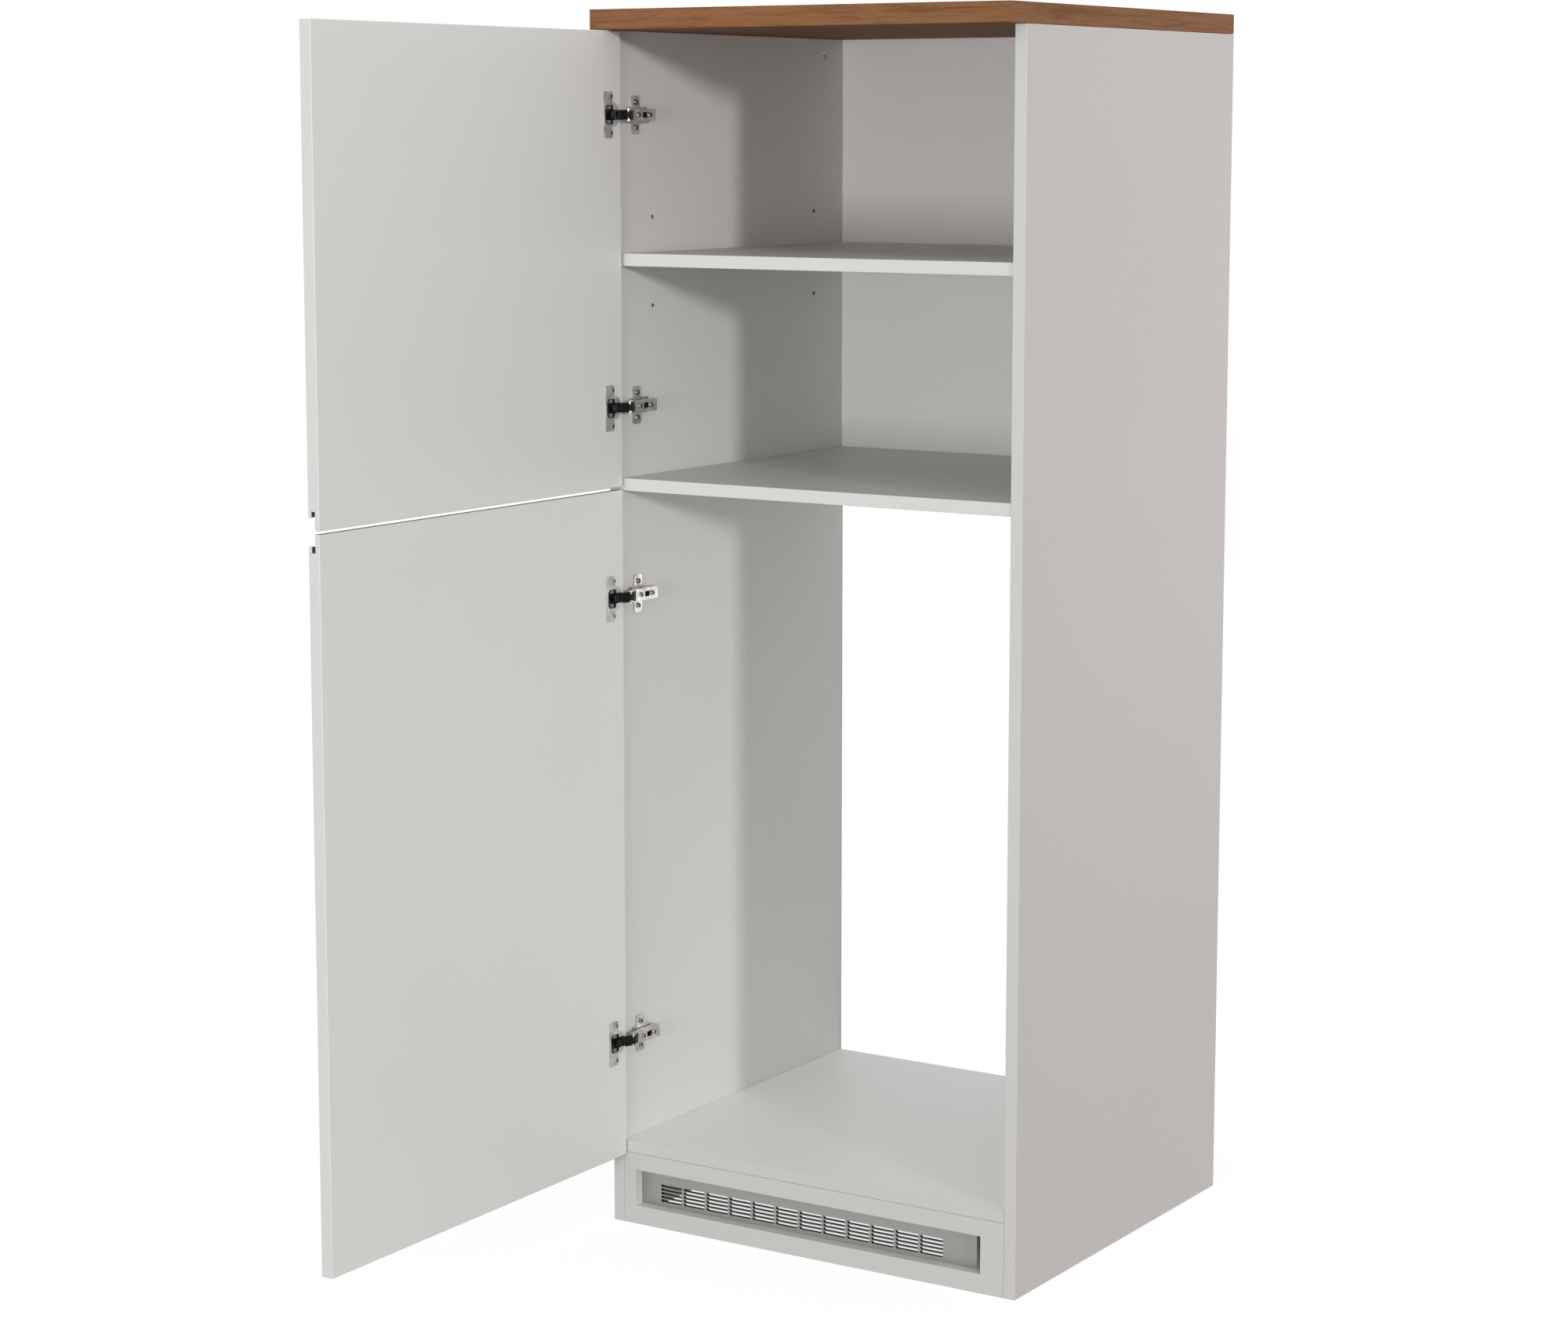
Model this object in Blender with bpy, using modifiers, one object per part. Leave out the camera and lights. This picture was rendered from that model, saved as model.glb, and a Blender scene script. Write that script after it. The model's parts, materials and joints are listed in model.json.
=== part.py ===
"""Tall kitchen cabinet with two doors, two storage compartments, an open appliance niche and a vented plinth.

Metres, +Z up. The origin is on the floor at the middle of the cabinet's front plane, +X is to the viewer's
right and +Y runs to the back. The doors are stored open at ninety degrees, and close by turning about +Z.
"""
import math

import bmesh
import bpy
from mathutils import Matrix, Vector

# Carcass sizes
CABINET_WIDTH = 0.600
CABINET_HEIGHT = 1.570
CARCASS_DEPTH = 0.560
BOARD_THICKNESS = 0.016
TOP_THICKNESS = 0.025
TOP_OVERHANG = 0.038
SEAT_GAP = 0.0003
EDGE_EASE = 0.0005

# Rear rebate of the sides, and the back panel that lies in it
REBATE_WIDTH = 0.020
REBATE_DEPTH = 0.010
BACK_THICKNESS = 0.008

# Shelf levels, measured at their tops
FLOOR_PANEL_TOP = 0.111
MIDDLE_SHELF_TOP = 0.981
UPPER_SHELF_TOP = 1.2665
MIDDLE_SHELF_SET_BACK = 0.002
UPPER_SHELF_SET_BACK = 0.004
UPPER_SHELF_SIDE_GAP = 0.0008
UPPER_SHELF_REAR_GAP = 0.003

# Shelf pins, their rows of holes and the notches over them
PIN_RADIUS = 0.0025
PIN_HOLE_CLEARANCE = 0.0002
PIN_EMBED = 0.0085
PIN_REACH = 0.0085
PIN_HOLE_PITCH = 0.0565
PIN_ROW_BACK = 0.075
PIN_BELOW_SHELF_TOP = 0.012
NOTCH_SIDE_CLEARANCE = 0.002
NOTCH_END_CLEARANCE = 0.0015

# Cam fittings near the rear top corners
CAM_RADIUS = 0.006
CAM_CLEARANCE = 0.0002
CAM_DEPTH = 0.010
CAM_BELOW_TOP = 0.0232
CAM_FROM_REAR = 0.0667
CAM_SLOT_LENGTH = 0.0075
CAM_SLOT_WIDTH = 0.0018
CAM_SLOT_DEPTH = 0.0025

# Vent cut-out of the plinth, and the slotted plate behind it
VENT_LEFT_MARGIN = 0.018
VENT_RIGHT_MARGIN = 0.033
VENT_BOTTOM = 0.0245
VENT_HEIGHT = 0.048
GRILLE_THICKNESS = 0.0012
GRILLE_LAP = 0.009
GRILLE_RIGHT_SHORTFALL = 0.0136
SLOT_ROWS = 5
SLOT_LENGTH = 0.0332
SLOT_GROUP_PITCH = 0.0357
SLOT_HEIGHT = 0.0038
SLOT_ROW_PITCH = 0.0050
SLOT_LEFT_MARGIN = 0.0294
SLOT_RIGHT_MARGIN = 0.045
SLOT_CENTRE_RISE = 0.0177

# Doors, with a routed grip along the edges that face each other
DOOR_REVEAL = 0.0015
DOOR_THICKNESS = 0.016
UPPER_DOOR_TOP_GAP = 0.0012
DOOR_SPLIT_DROP = 0.01215
DOOR_SPLIT_GAP = 0.0037
LOWER_DOOR_DROP = 0.0182
GRIP_LIP_THICKNESS = 0.0050
GRIP_GROOVE_WIDTH = 0.0046
GRIP_LIP_SHORTFALL = 0.0150
GRIP_GROOVE_DEPTH = 0.0066
OPEN_FACE_INSET = 0.0062
OPEN_EDGE_GAP = 0.003

# Hinge cups
CUP_RADIUS = 0.0175
CUP_WALL = 0.0008
CUP_DEPTH = 0.0125
CUP_BORE_CLEARANCE = 0.0003
CUP_EDGE_DISTANCE = 0.0225
FLANGE_WIDTH = 0.021
FLANGE_HEIGHT = 0.058
FLANGE_THICKNESS = 0.0010
FLANGE_CORNER = 0.003
CUP_LIP = 0.0009

# Hinge pivots, given from the side's inner face, the carcass front, the open door's face and the cup's rim
ARM_PIVOT_RISE = 0.01219
ARM_PIVOT_BACK = 0.00849
INNER_PIVOT_RISE = 0.018
INNER_PIVOT_OUT = 0.003
CUP_PIVOT_DEPTH = 0.0022
CUP_PIVOT_IN = 0.004
FREE_PIVOT_DEPTH = 0.0012
FREE_PIVOT_IN = 0.009
HINGE_PIN_RADIUS = 0.00115
HINGE_PIN_CLEARANCE = 0.00015

# Links
OUTER_BEND_RISE = 0.009
OUTER_BEND_OUT = 0.0115
INNER_BEND_RISE = 0.0125
INNER_BEND_OUT = 0.0155
LINK_THICKNESS = 0.0016
LINK_SIDE_PLAY = 0.00105
FORK_TINE = 0.0011
FORK_CLEARANCE = 0.0004
ARM_EYE_RADIUS = 0.0022
CUP_EYE_RADIUS = 0.0019
FREE_END_RADIUS = 0.0012
FORK_START_SHARE = 0.62

# Hinge arms
ARM_TOP_RISE = 0.0148
ARM_LOW_RISE = 0.0065
ARM_TAIL = 0.0035
ARM_HALF_HEIGHT = 0.00785
ARM_SHEET = 0.0012
ARM_WEB_FRONT = 0.0125
ARM_NOSE_RADIUS = 0.0024
ARM_CHEEK_RADIUS = 0.0028
ARM_SHOULDER_BACK = 0.014
PIN_HEAD = 0.00035
ARM_SLOT_FRONT = 0.0335
ARM_SLOT_LENGTH = 0.0104
ARM_SLOT_HEIGHT = 0.0068
ADJUSTER_BACK = 0.0247
CLAMP_FROM_SPINE_REAR = 0.0091

# Mounting plates
PLATE_WING_FRONT = 0.0275
PLATE_WING_WIDTH = 0.017
PLATE_WING_HALF_HEIGHT = 0.0244
PLATE_WING_THICKNESS = 0.0020
PLATE_CORNER = 0.004
SPINE_FRONT = 0.0185
SPINE_REAR = 0.0585
SPINE_RECESS_DEPTH = 0.0070

# Screws
SCREW_HALF_PITCH = 0.016
PLATE_SCREW_BACK = 0.036
PLATE_SCREW_HEAD_RADIUS = 0.0034
PLATE_SCREW_HEAD_HEIGHT = 0.0016
PLATE_SCREW_SHANK_RADIUS = 0.0018
PLATE_SCREW_EMBED = 0.0105
ARM_SCREW_HEAD_RADIUS = 0.0032
ARM_SCREW_HEAD_HEIGHT = 0.0014
ARM_SCREW_SHANK_RADIUS = 0.0020
ARM_SCREW_EMBED = 0.0080
SCREW_CLEARANCE = 0.0003
DRIVE_LENGTH = 0.0038
DRIVE_WIDTH = 0.0009
DRIVE_DEPTH = 0.0008

# Hinge places, measured from the ends of each door
UPPER_DOOR_HINGE_DROP = 0.1038
UPPER_DOOR_HINGE_RISE = 0.1016
LOWER_DOOR_HINGE_DROP = 0.1378
LOWER_DOOR_HINGE_RISE = 0.1542

# Cutters run past the face they leave by this much
CUT_PAST = 0.002

# Facets of round work
CUP_FACETS = 32
ROUND_FACETS = 16
SMALL_FACETS = 12
CORNER_FACETS = 2

# Colours, red, green, blue and alpha
WHITE_BOARD = (0.72, 0.71, 0.68, 1.0)
WALNUT = (0.25, 0.13, 0.07, 1.0)
GREY_PLATE = (0.33, 0.33, 0.32, 1.0)
NICKEL = (0.62, 0.61, 0.59, 1.0)
DARK_LINK = (0.05, 0.05, 0.05, 1.0)
BOARD_ROUGHNESS = 0.5
METAL_ROUGHNESS = 0.3

# Derived places
HALF_WIDTH = CABINET_WIDTH / 2
INNER_HALF = HALF_WIDTH - BOARD_THICKNESS
TOP_UNDERSIDE = CABINET_HEIGHT - TOP_THICKNESS
SHELF_REAR = CARCASS_DEPTH - REBATE_WIDTH
DOOR_FACE = -INNER_HALF + OPEN_FACE_INSET
DOOR_EDGE = -OPEN_EDGE_GAP
PIN_LEVEL = UPPER_SHELF_TOP - PIN_BELOW_SHELF_TOP
ARM_PIVOT = Vector((-INNER_HALF + ARM_PIVOT_RISE, ARM_PIVOT_BACK))
INNER_PIVOT = Vector((-INNER_HALF + INNER_PIVOT_RISE, -INNER_PIVOT_OUT))
CUP_CENTRE_Y = DOOR_EDGE - CUP_EDGE_DISTANCE
CUP_RIM_Y = CUP_CENTRE_Y + CUP_RADIUS
CUP_PIVOT = Vector((DOOR_FACE - CUP_PIVOT_DEPTH, CUP_RIM_Y - CUP_PIVOT_IN))
FREE_PIVOT = Vector((DOOR_FACE - FREE_PIVOT_DEPTH, CUP_RIM_Y - FREE_PIVOT_IN))
OUTER_LINK_HALF_HEIGHT = ARM_HALF_HEIGHT - ARM_SHEET - LINK_SIDE_PLAY
INNER_LINK_HALF_HEIGHT = OUTER_LINK_HALF_HEIGHT - FORK_TINE - FORK_CLEARANCE
ARM_REAR = SPINE_REAR + ARM_TAIL
CLAMP_SCREW_BACK = SPINE_REAR - CLAMP_FROM_SPINE_REAR
CAM_BACK = CARCASS_DEPTH - CAM_FROM_REAR
DOOR_WIDTH = CABINET_WIDTH - 2 * DOOR_REVEAL
UPPER_DOOR_TOP = TOP_UNDERSIDE - UPPER_DOOR_TOP_GAP
UPPER_DOOR_BOTTOM = MIDDLE_SHELF_TOP - DOOR_SPLIT_DROP + DOOR_SPLIT_GAP / 2
LOWER_DOOR_TOP = UPPER_DOOR_BOTTOM - DOOR_SPLIT_GAP
LOWER_DOOR_BOTTOM = FLOOR_PANEL_TOP - LOWER_DOOR_DROP
HINGES = {"upper_top": UPPER_DOOR_TOP - UPPER_DOOR_HINGE_DROP,
          "upper_bottom": UPPER_DOOR_BOTTOM + UPPER_DOOR_HINGE_RISE,
          "lower_top": LOWER_DOOR_TOP - LOWER_DOOR_HINGE_DROP,
          "lower_bottom": LOWER_DOOR_BOTTOM + LOWER_DOOR_HINGE_RISE}


def clear_scene():
    """Empties the file of its startup objects."""
    for obj in list(bpy.data.objects):
        bpy.data.objects.remove(obj, do_unlink=True)


def new_collection(name):
    """Makes a collection under the scene's own."""
    made = bpy.data.collections.new(name)
    bpy.context.scene.collection.children.link(made)
    return made


clear_scene()
PARTS = new_collection("Tall appliance cabinet")
CUTTERS = new_collection("Cutters")


def finish(obj, colour, roughness, metallic):
    """Gives a piece its own Principled material."""
    material = bpy.data.materials.new(obj.name + " finish")
    material.use_nodes = True
    shader = material.node_tree.nodes["Principled BSDF"]
    shader.inputs["Base Color"].default_value = colour
    shader.inputs["Roughness"].default_value = roughness
    shader.inputs["Metallic"].default_value = metallic
    obj.data.materials.append(material)


def board_finish(obj):
    finish(obj, WHITE_BOARD, BOARD_ROUGHNESS, 0.0)


def metal_finish(obj):
    finish(obj, NICKEL, METAL_ROUGHNESS, 1.0)


def make_object(name, shape, origin, collection):
    """Moves a shape so that its origin lies at the given point, and links it."""
    origin = Vector(origin)
    bmesh.ops.translate(shape, verts=shape.verts, vec=-origin)
    bmesh.ops.recalc_face_normals(shape, faces=shape.faces)
    mesh = bpy.data.meshes.new(name)
    shape.to_mesh(mesh)
    shape.free()
    obj = bpy.data.objects.new(name, mesh)
    obj.location = origin
    collection.objects.link(obj)
    return obj


def middle(low, high):
    return [(a + b) / 2 for a, b in zip(low, high)]


def add_box(shape, low, high):
    """Adds a box between two corners."""
    size = [b - a for a, b in zip(low, high)]
    matrix = Matrix.Translation(middle(low, high)) @ Matrix.Diagonal((*size, 1.0))
    bmesh.ops.create_cube(shape, size=1.0, matrix=matrix)


def add_cylinder(shape, axis, start, end, centre, radius, facets):
    """Adds a cylinder along a world axis; centre holds the two other coordinates, in X, Y, Z order."""
    number = "XYZ".index(axis)
    place = list(centre)
    place.insert(number, (start + end) / 2)
    turns = {"X": Matrix.Rotation(math.pi / 2, 4, "Y"), "Y": Matrix.Rotation(math.pi / 2, 4, "X"),
             "Z": Matrix.Identity(4)}
    matrix = Matrix.Translation(place) @ turns[axis]
    made = bmesh.ops.create_cone(shape, cap_ends=True, segments=facets, radius1=radius, radius2=radius,
                                 depth=abs(end - start), matrix=matrix)
    for vert in made["verts"]:
        for face in vert.link_faces:
            face.smooth = len(face.verts) == 4


def add_prism(shape, outline, axis, start, end):
    """Fills a closed outline drawn across an axis, and extrudes it along that axis."""
    number = "XYZ".index(axis)
    ring = []
    for point in outline:
        place = list(point)
        place.insert(number, start)
        ring.append(shape.verts.new(place))
    face = shape.faces.new(ring)
    raised = bmesh.ops.extrude_face_region(shape, geom=[face])
    moved = [item for item in raised["geom"] if isinstance(item, bmesh.types.BMVert)]
    push = [0, 0, 0]
    push[number] = end - start
    bmesh.ops.translate(shape, verts=moved, vec=push)


def board(name, low, high, ease=True):
    """A plain board between two corners, with eased edges."""
    shape = bmesh.new()
    add_box(shape, low, high)
    obj = make_object(name, shape, middle(low, high), PARTS)
    if ease:
        ease_edges(obj)
    return obj


def ease_edges(obj):
    bevel = obj.modifiers.new("Eased edges", "BEVEL")
    bevel.width = EDGE_EASE
    bevel.segments = 1
    bevel.limit_method = "ANGLE"
    bevel.angle_limit = math.radians(40)


def cutter(name, shape):
    """A hidden piece that a Boolean uses."""
    bmesh.ops.recalc_face_normals(shape, faces=shape.faces)
    obj = make_object(name, shape, (0, 0, 0), CUTTERS)
    obj.hide_render = True
    obj.display_type = "WIRE"
    return obj


def combine(obj, other, operation):
    """Adds one exact Boolean, whose second piece moves with the first."""
    attach(other, obj)
    boolean = obj.modifiers.new(other.name, "BOOLEAN")
    boolean.solver = "EXACT"
    boolean.operation = operation
    boolean.object = other


def cut(obj, shape, name):
    combine(obj, cutter(obj.name + " " + name, shape), "DIFFERENCE")


def fuse(obj, shape, name):
    combine(obj, cutter(obj.name + " " + name, shape), "UNION")


def world_place(obj):
    """Adds up the places of an object's parents; nothing here is turned."""
    place = Vector(obj.location)
    while obj.parent:
        obj = obj.parent
        place += obj.location
    return place


def attach(obj, parent):
    """Parents a piece without moving it."""
    obj.location = obj.location - world_place(parent)
    obj.parent = parent


def axis_marker(name, place, parent):
    """An empty on a joint's axis, which carries the pieces that turn there."""
    obj = bpy.data.objects.new(name, None)
    obj.empty_display_type = "ARROWS"
    obj.location = place
    PARTS.objects.link(obj)
    attach(obj, parent)
    return obj


def rounded_rectangle(low, high, radius, facets):
    """Outline of a rectangle with round corners."""
    corners = ((high[0] - radius, high[1] - radius), (low[0] + radius, high[1] - radius),
               (low[0] + radius, low[1] + radius), (high[0] - radius, low[1] + radius))
    points = []
    for quarter, corner in enumerate(corners):
        for step in range(facets + 1):
            turn = math.pi / 2 * (quarter + step / facets)
            points.append((corner[0] + radius * math.cos(turn), corner[1] + radius * math.sin(turn)))
    return points


def offset_chain(points, distance):
    """Outline of a bent strap of even thickness about a chain of points."""
    left, right = [], []
    for index, point in enumerate(points):
        before = (point - points[index - 1]).normalized() if index else None
        after = (points[index + 1] - point).normalized() if index + 1 < len(points) else None
        if before is None or after is None:
            along = after or before
            reach = distance
        else:
            along = (before + after).normalized()
            reach = distance / math.sqrt((1 + before.dot(after)) / 2)
        across = Vector((-along.y, along.x))
        left.append(point + across * reach)
        right.append(point - across * reach)
    return left + list(reversed(right))


def drive_cross(shape, axis, top, depth, centre, length, width):
    """Adds the two crossed bars of a screw's drive, as one cross outline."""
    a, b = length / 2, width / 2
    outline = ((a, b), (b, b), (b, a), (-b, a), (-b, b), (-a, b), (-a, -b), (-b, -b), (-b, -a), (b, -a),
               (b, -b), (a, -b))
    placed = [(centre[0] + u, centre[1] + v) for u, v in outline]
    add_prism(shape, placed, axis, top - depth, top + CUT_PAST)


# Boards of the carcass

def make_side(name, side):
    """A side panel; side is -1 for the left and 1 for the right."""
    inner, outer, rebate = side * INNER_HALF, side * HALF_WIDTH, side * (INNER_HALF + REBATE_DEPTH)
    outline = ((outer, 0), (inner, 0), (inner, SHELF_REAR), (rebate, SHELF_REAR), (rebate, CARCASS_DEPTH),
               (outer, CARCASS_DEPTH))
    shape = bmesh.new()
    top = TOP_UNDERSIDE - SEAT_GAP
    add_prism(shape, outline, "Z", 0, top)
    obj = make_object(name, shape, (side * (INNER_HALF + HALF_WIDTH) / 2, CARCASS_DEPTH / 2, top / 2), PARTS)
    ease_edges(obj)
    holes = bmesh.new()
    mouth = side * (INNER_HALF - CUT_PAST)
    for row in (PIN_ROW_BACK, SHELF_REAR - PIN_ROW_BACK):
        for step in (-1, 0, 1):
            level = PIN_LEVEL + step * PIN_HOLE_PITCH
            bottom = side * (INNER_HALF + PIN_EMBED + PIN_HOLE_CLEARANCE)
            add_cylinder(holes, "X", mouth, bottom, (row, level), PIN_RADIUS + PIN_HOLE_CLEARANCE,
                         SMALL_FACETS)
    bottom = side * (INNER_HALF + CAM_DEPTH + CAM_CLEARANCE)
    add_cylinder(holes, "X", mouth, bottom, (CAM_BACK, TOP_UNDERSIDE - CAM_BELOW_TOP),
                 CAM_RADIUS + CAM_CLEARANCE, ROUND_FACETS)
    if side < 0:
        bottom = side * (INNER_HALF + PLATE_SCREW_EMBED + SCREW_CLEARANCE)
        for level in HINGES.values():
            for step in (-1, 1):
                add_cylinder(holes, "X", mouth, bottom, (PLATE_SCREW_BACK, level + step * SCREW_HALF_PITCH),
                             PLATE_SCREW_SHANK_RADIUS + SCREW_CLEARANCE, SMALL_FACETS)
    cut(obj, holes, "holes")
    board_finish(obj)
    return obj


def make_upper_shelf():
    """The adjustable shelf, notched over its four pins."""
    reach = INNER_HALF - UPPER_SHELF_SIDE_GAP
    low = (-reach, UPPER_SHELF_SET_BACK, UPPER_SHELF_TOP - BOARD_THICKNESS)
    high = (reach, SHELF_REAR - UPPER_SHELF_REAR_GAP, UPPER_SHELF_TOP)
    obj = board("upper_shelf", low, high)
    notches = bmesh.new()
    roof = PIN_LEVEL + PIN_RADIUS + SEAT_GAP
    for side in (-1, 1):
        for row in (PIN_ROW_BACK, SHELF_REAR - PIN_ROW_BACK):
            ends = sorted((side * (INNER_HALF + CUT_PAST),
                           side * (INNER_HALF - PIN_REACH - NOTCH_END_CLEARANCE)))
            half = PIN_RADIUS + NOTCH_SIDE_CLEARANCE
            add_box(notches, (ends[0], row - half, low[2] - CUT_PAST), (ends[1], row + half, roof))
    cut(obj, notches, "notches")
    board_finish(obj)
    return obj


def make_carcass(root):
    """Every fixed board and fitting."""
    made = [make_side("side_panel_left", -1), make_side("side_panel_right", 1)]
    top = board("top_board", (-HALF_WIDTH, -TOP_OVERHANG, TOP_UNDERSIDE),
                (HALF_WIDTH, CARCASS_DEPTH, CABINET_HEIGHT))
    finish(top, WALNUT, BOARD_ROUGHNESS, 0.0)
    made.append(top)
    reach = INNER_HALF - SEAT_GAP
    flat = (
        ("middle_shelf", (-reach, MIDDLE_SHELF_SET_BACK, MIDDLE_SHELF_TOP - BOARD_THICKNESS),
         (reach, SHELF_REAR, MIDDLE_SHELF_TOP)),
        ("floor_panel", (-reach, 0, FLOOR_PANEL_TOP - BOARD_THICKNESS), (reach, SHELF_REAR, FLOOR_PANEL_TOP)),
        ("back_panel", (-reach - REBATE_DEPTH, SHELF_REAR + SEAT_GAP, MIDDLE_SHELF_TOP - BOARD_THICKNESS),
         (reach + REBATE_DEPTH, SHELF_REAR + SEAT_GAP + BACK_THICKNESS, TOP_UNDERSIDE - SEAT_GAP)),
    )
    for name, low, high in flat:
        piece = board(name, low, high)
        board_finish(piece)
        made.append(piece)
    made.append(make_upper_shelf())
    made.append(make_plinth())
    made.append(make_grille())
    for name, side in (("cam_left", -1), ("cam_right", 1)):
        made.append(make_cam(name, side))
    for name, side, row in (("pin_front_left", -1, PIN_ROW_BACK), ("pin_front_right", 1, PIN_ROW_BACK),
                            ("pin_rear_left", -1, SHELF_REAR - PIN_ROW_BACK),
                            ("pin_rear_right", 1, SHELF_REAR - PIN_ROW_BACK)):
        made.append(make_pin(name, side, row))
    for piece in made:
        attach(piece, root)


def vent_span():
    return -INNER_HALF + VENT_LEFT_MARGIN, INNER_HALF - VENT_RIGHT_MARGIN


def make_plinth():
    """The plinth board with its long cut-out."""
    reach = INNER_HALF - SEAT_GAP
    obj = board("plinth_board", (-reach, 0, 0),
                (reach, BOARD_THICKNESS, FLOOR_PANEL_TOP - BOARD_THICKNESS - SEAT_GAP))
    left, right = vent_span()
    window = bmesh.new()
    add_box(window, (left, -CUT_PAST, VENT_BOTTOM),
            (right, BOARD_THICKNESS + CUT_PAST, VENT_BOTTOM + VENT_HEIGHT))
    cut(obj, window, "window")
    board_finish(obj)
    return obj


def make_grille():
    """The slotted plate behind the cut-out."""
    left, right = vent_span()
    front = BOARD_THICKNESS + SEAT_GAP
    low = (left - GRILLE_LAP, front, VENT_BOTTOM - GRILLE_LAP)
    high = (right - GRILLE_RIGHT_SHORTFALL, front + GRILLE_THICKNESS, VENT_BOTTOM + VENT_HEIGHT + GRILLE_LAP)
    obj = board("vent_grille", low, high, ease=False)
    slots = bmesh.new()
    first = left + SLOT_LEFT_MARGIN
    room = high[0] - SLOT_RIGHT_MARGIN - first - SLOT_LENGTH
    for group in range(math.floor(room / SLOT_GROUP_PITCH) + 1):
        start = first + group * SLOT_GROUP_PITCH
        for row in range(SLOT_ROWS):
            level = VENT_BOTTOM + SLOT_CENTRE_RISE + (row - (SLOT_ROWS - 1) / 2) * SLOT_ROW_PITCH
            add_box(slots, (start, front - CUT_PAST, level - SLOT_HEIGHT / 2),
                    (start + SLOT_LENGTH, high[1] + CUT_PAST, level + SLOT_HEIGHT / 2))
    cut(obj, slots, "slots")
    finish(obj, GREY_PLATE, METAL_ROUGHNESS, 1.0)
    return obj


def make_cam(name, side):
    """A cam housing set flush in a side."""
    level = TOP_UNDERSIDE - CAM_BELOW_TOP
    front = side * (INNER_HALF + SEAT_GAP)
    shape = bmesh.new()
    add_cylinder(shape, "X", front, side * (INNER_HALF + CAM_DEPTH), (CAM_BACK, level), CAM_RADIUS,
                 ROUND_FACETS)
    obj = make_object(name, shape, (front, CAM_BACK, level), PARTS)
    slot = bmesh.new()
    a, b = CAM_SLOT_LENGTH / 2, CAM_SLOT_WIDTH / 2
    ends = sorted((side * (INNER_HALF - CUT_PAST), side * (INNER_HALF + CAM_SLOT_DEPTH)))
    add_box(slot, (ends[0], CAM_BACK - a, level - b), (ends[1], CAM_BACK + a, level + b))
    cut(obj, slot, "slot")
    metal_finish(obj)
    return obj


def make_pin(name, side, row):
    """A plain shelf pin."""
    shape = bmesh.new()
    add_cylinder(shape, "X", side * (INNER_HALF + PIN_EMBED), side * (INNER_HALF - PIN_REACH),
                 (row, PIN_LEVEL), PIN_RADIUS, SMALL_FACETS)
    obj = make_object(name, shape, (side * INNER_HALF, row, PIN_LEVEL), PARTS)
    metal_finish(obj)
    return obj


# Doors

def make_door(name, low, high, grip, levels):
    """A door with a grip along one edge, stored open; grip is 1 for the top edge and -1 for the bottom."""
    outer = DOOR_FACE - DOOR_THICKNESS
    lip = outer + GRIP_LIP_THICKNESS
    groove = lip + GRIP_GROOVE_WIDTH
    start, end = (high, low) if grip > 0 else (low, high)
    lip_end = start - grip * GRIP_LIP_SHORTFALL
    root = lip_end - grip * GRIP_GROOVE_DEPTH
    outline = ((DOOR_FACE, start), (DOOR_FACE, end), (outer, end), (outer, lip_end), (lip, lip_end),
               (lip, root), (groove, root), (groove, start))
    shape = bmesh.new()
    add_prism(shape, outline, "Y", DOOR_EDGE, DOOR_EDGE - DOOR_WIDTH)
    obj = make_object(name, shape, (CUP_PIVOT.x, CUP_PIVOT.y, (low + high) / 2), PARTS)
    ease_edges(obj)
    bores = bmesh.new()
    bottom = DOOR_FACE - CUP_DEPTH - CUP_BORE_CLEARANCE
    for level in levels:
        add_cylinder(bores, "X", bottom, DOOR_FACE + CUT_PAST, (CUP_CENTRE_Y, level),
                     CUP_RADIUS + CUP_BORE_CLEARANCE, CUP_FACETS)
    cut(obj, bores, "bores")
    board_finish(obj)
    return obj


# Hinges

def make_cup(name, level):
    """The cup in the door with its flange and the pin that the outer link turns on."""
    seat = DOOR_FACE + SEAT_GAP
    shape = bmesh.new()
    add_cylinder(shape, "X", DOOR_FACE - CUP_DEPTH, seat + FLANGE_THICKNESS / 2, (CUP_CENTRE_Y, level),
                 CUP_RADIUS, CUP_FACETS)
    obj = make_object(name, shape, (CUP_PIVOT.x, CUP_PIVOT.y, level), PARTS)
    a, b = FLANGE_WIDTH / 2, FLANGE_HEIGHT / 2
    flange = bmesh.new()
    outline = rounded_rectangle((CUP_CENTRE_Y - a, level - b), (CUP_CENTRE_Y + a, level + b), FLANGE_CORNER,
                                CORNER_FACETS)
    add_prism(flange, outline, "X", seat, seat + FLANGE_THICKNESS)
    fuse(obj, flange, "flange")
    lip = bmesh.new()
    add_cylinder(lip, "X", seat, seat + FLANGE_THICKNESS, (CUP_CENTRE_Y, level), CUP_RADIUS + CUP_LIP,
                 CUP_FACETS)
    fuse(obj, lip, "lip")
    hollow = bmesh.new()
    add_cylinder(hollow, "X", DOOR_FACE - CUP_DEPTH + CUP_WALL, seat + FLANGE_THICKNESS + CUT_PAST,
                 (CUP_CENTRE_Y, level), CUP_RADIUS - CUP_WALL, CUP_FACETS)
    cut(obj, hollow, "hollow")
    away = abs(CUP_PIVOT.y - CUP_CENTRE_Y)
    rim = CUP_RADIUS * math.cos(math.pi / CUP_FACETS)
    half = math.sqrt(rim ** 2 - (away + HINGE_PIN_RADIUS) ** 2)
    pin = bmesh.new()
    add_cylinder(pin, "Z", level - half, level + half, CUP_PIVOT, HINGE_PIN_RADIUS, SMALL_FACETS)
    fuse(obj, pin, "pin")
    metal_finish(obj)
    return obj


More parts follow.
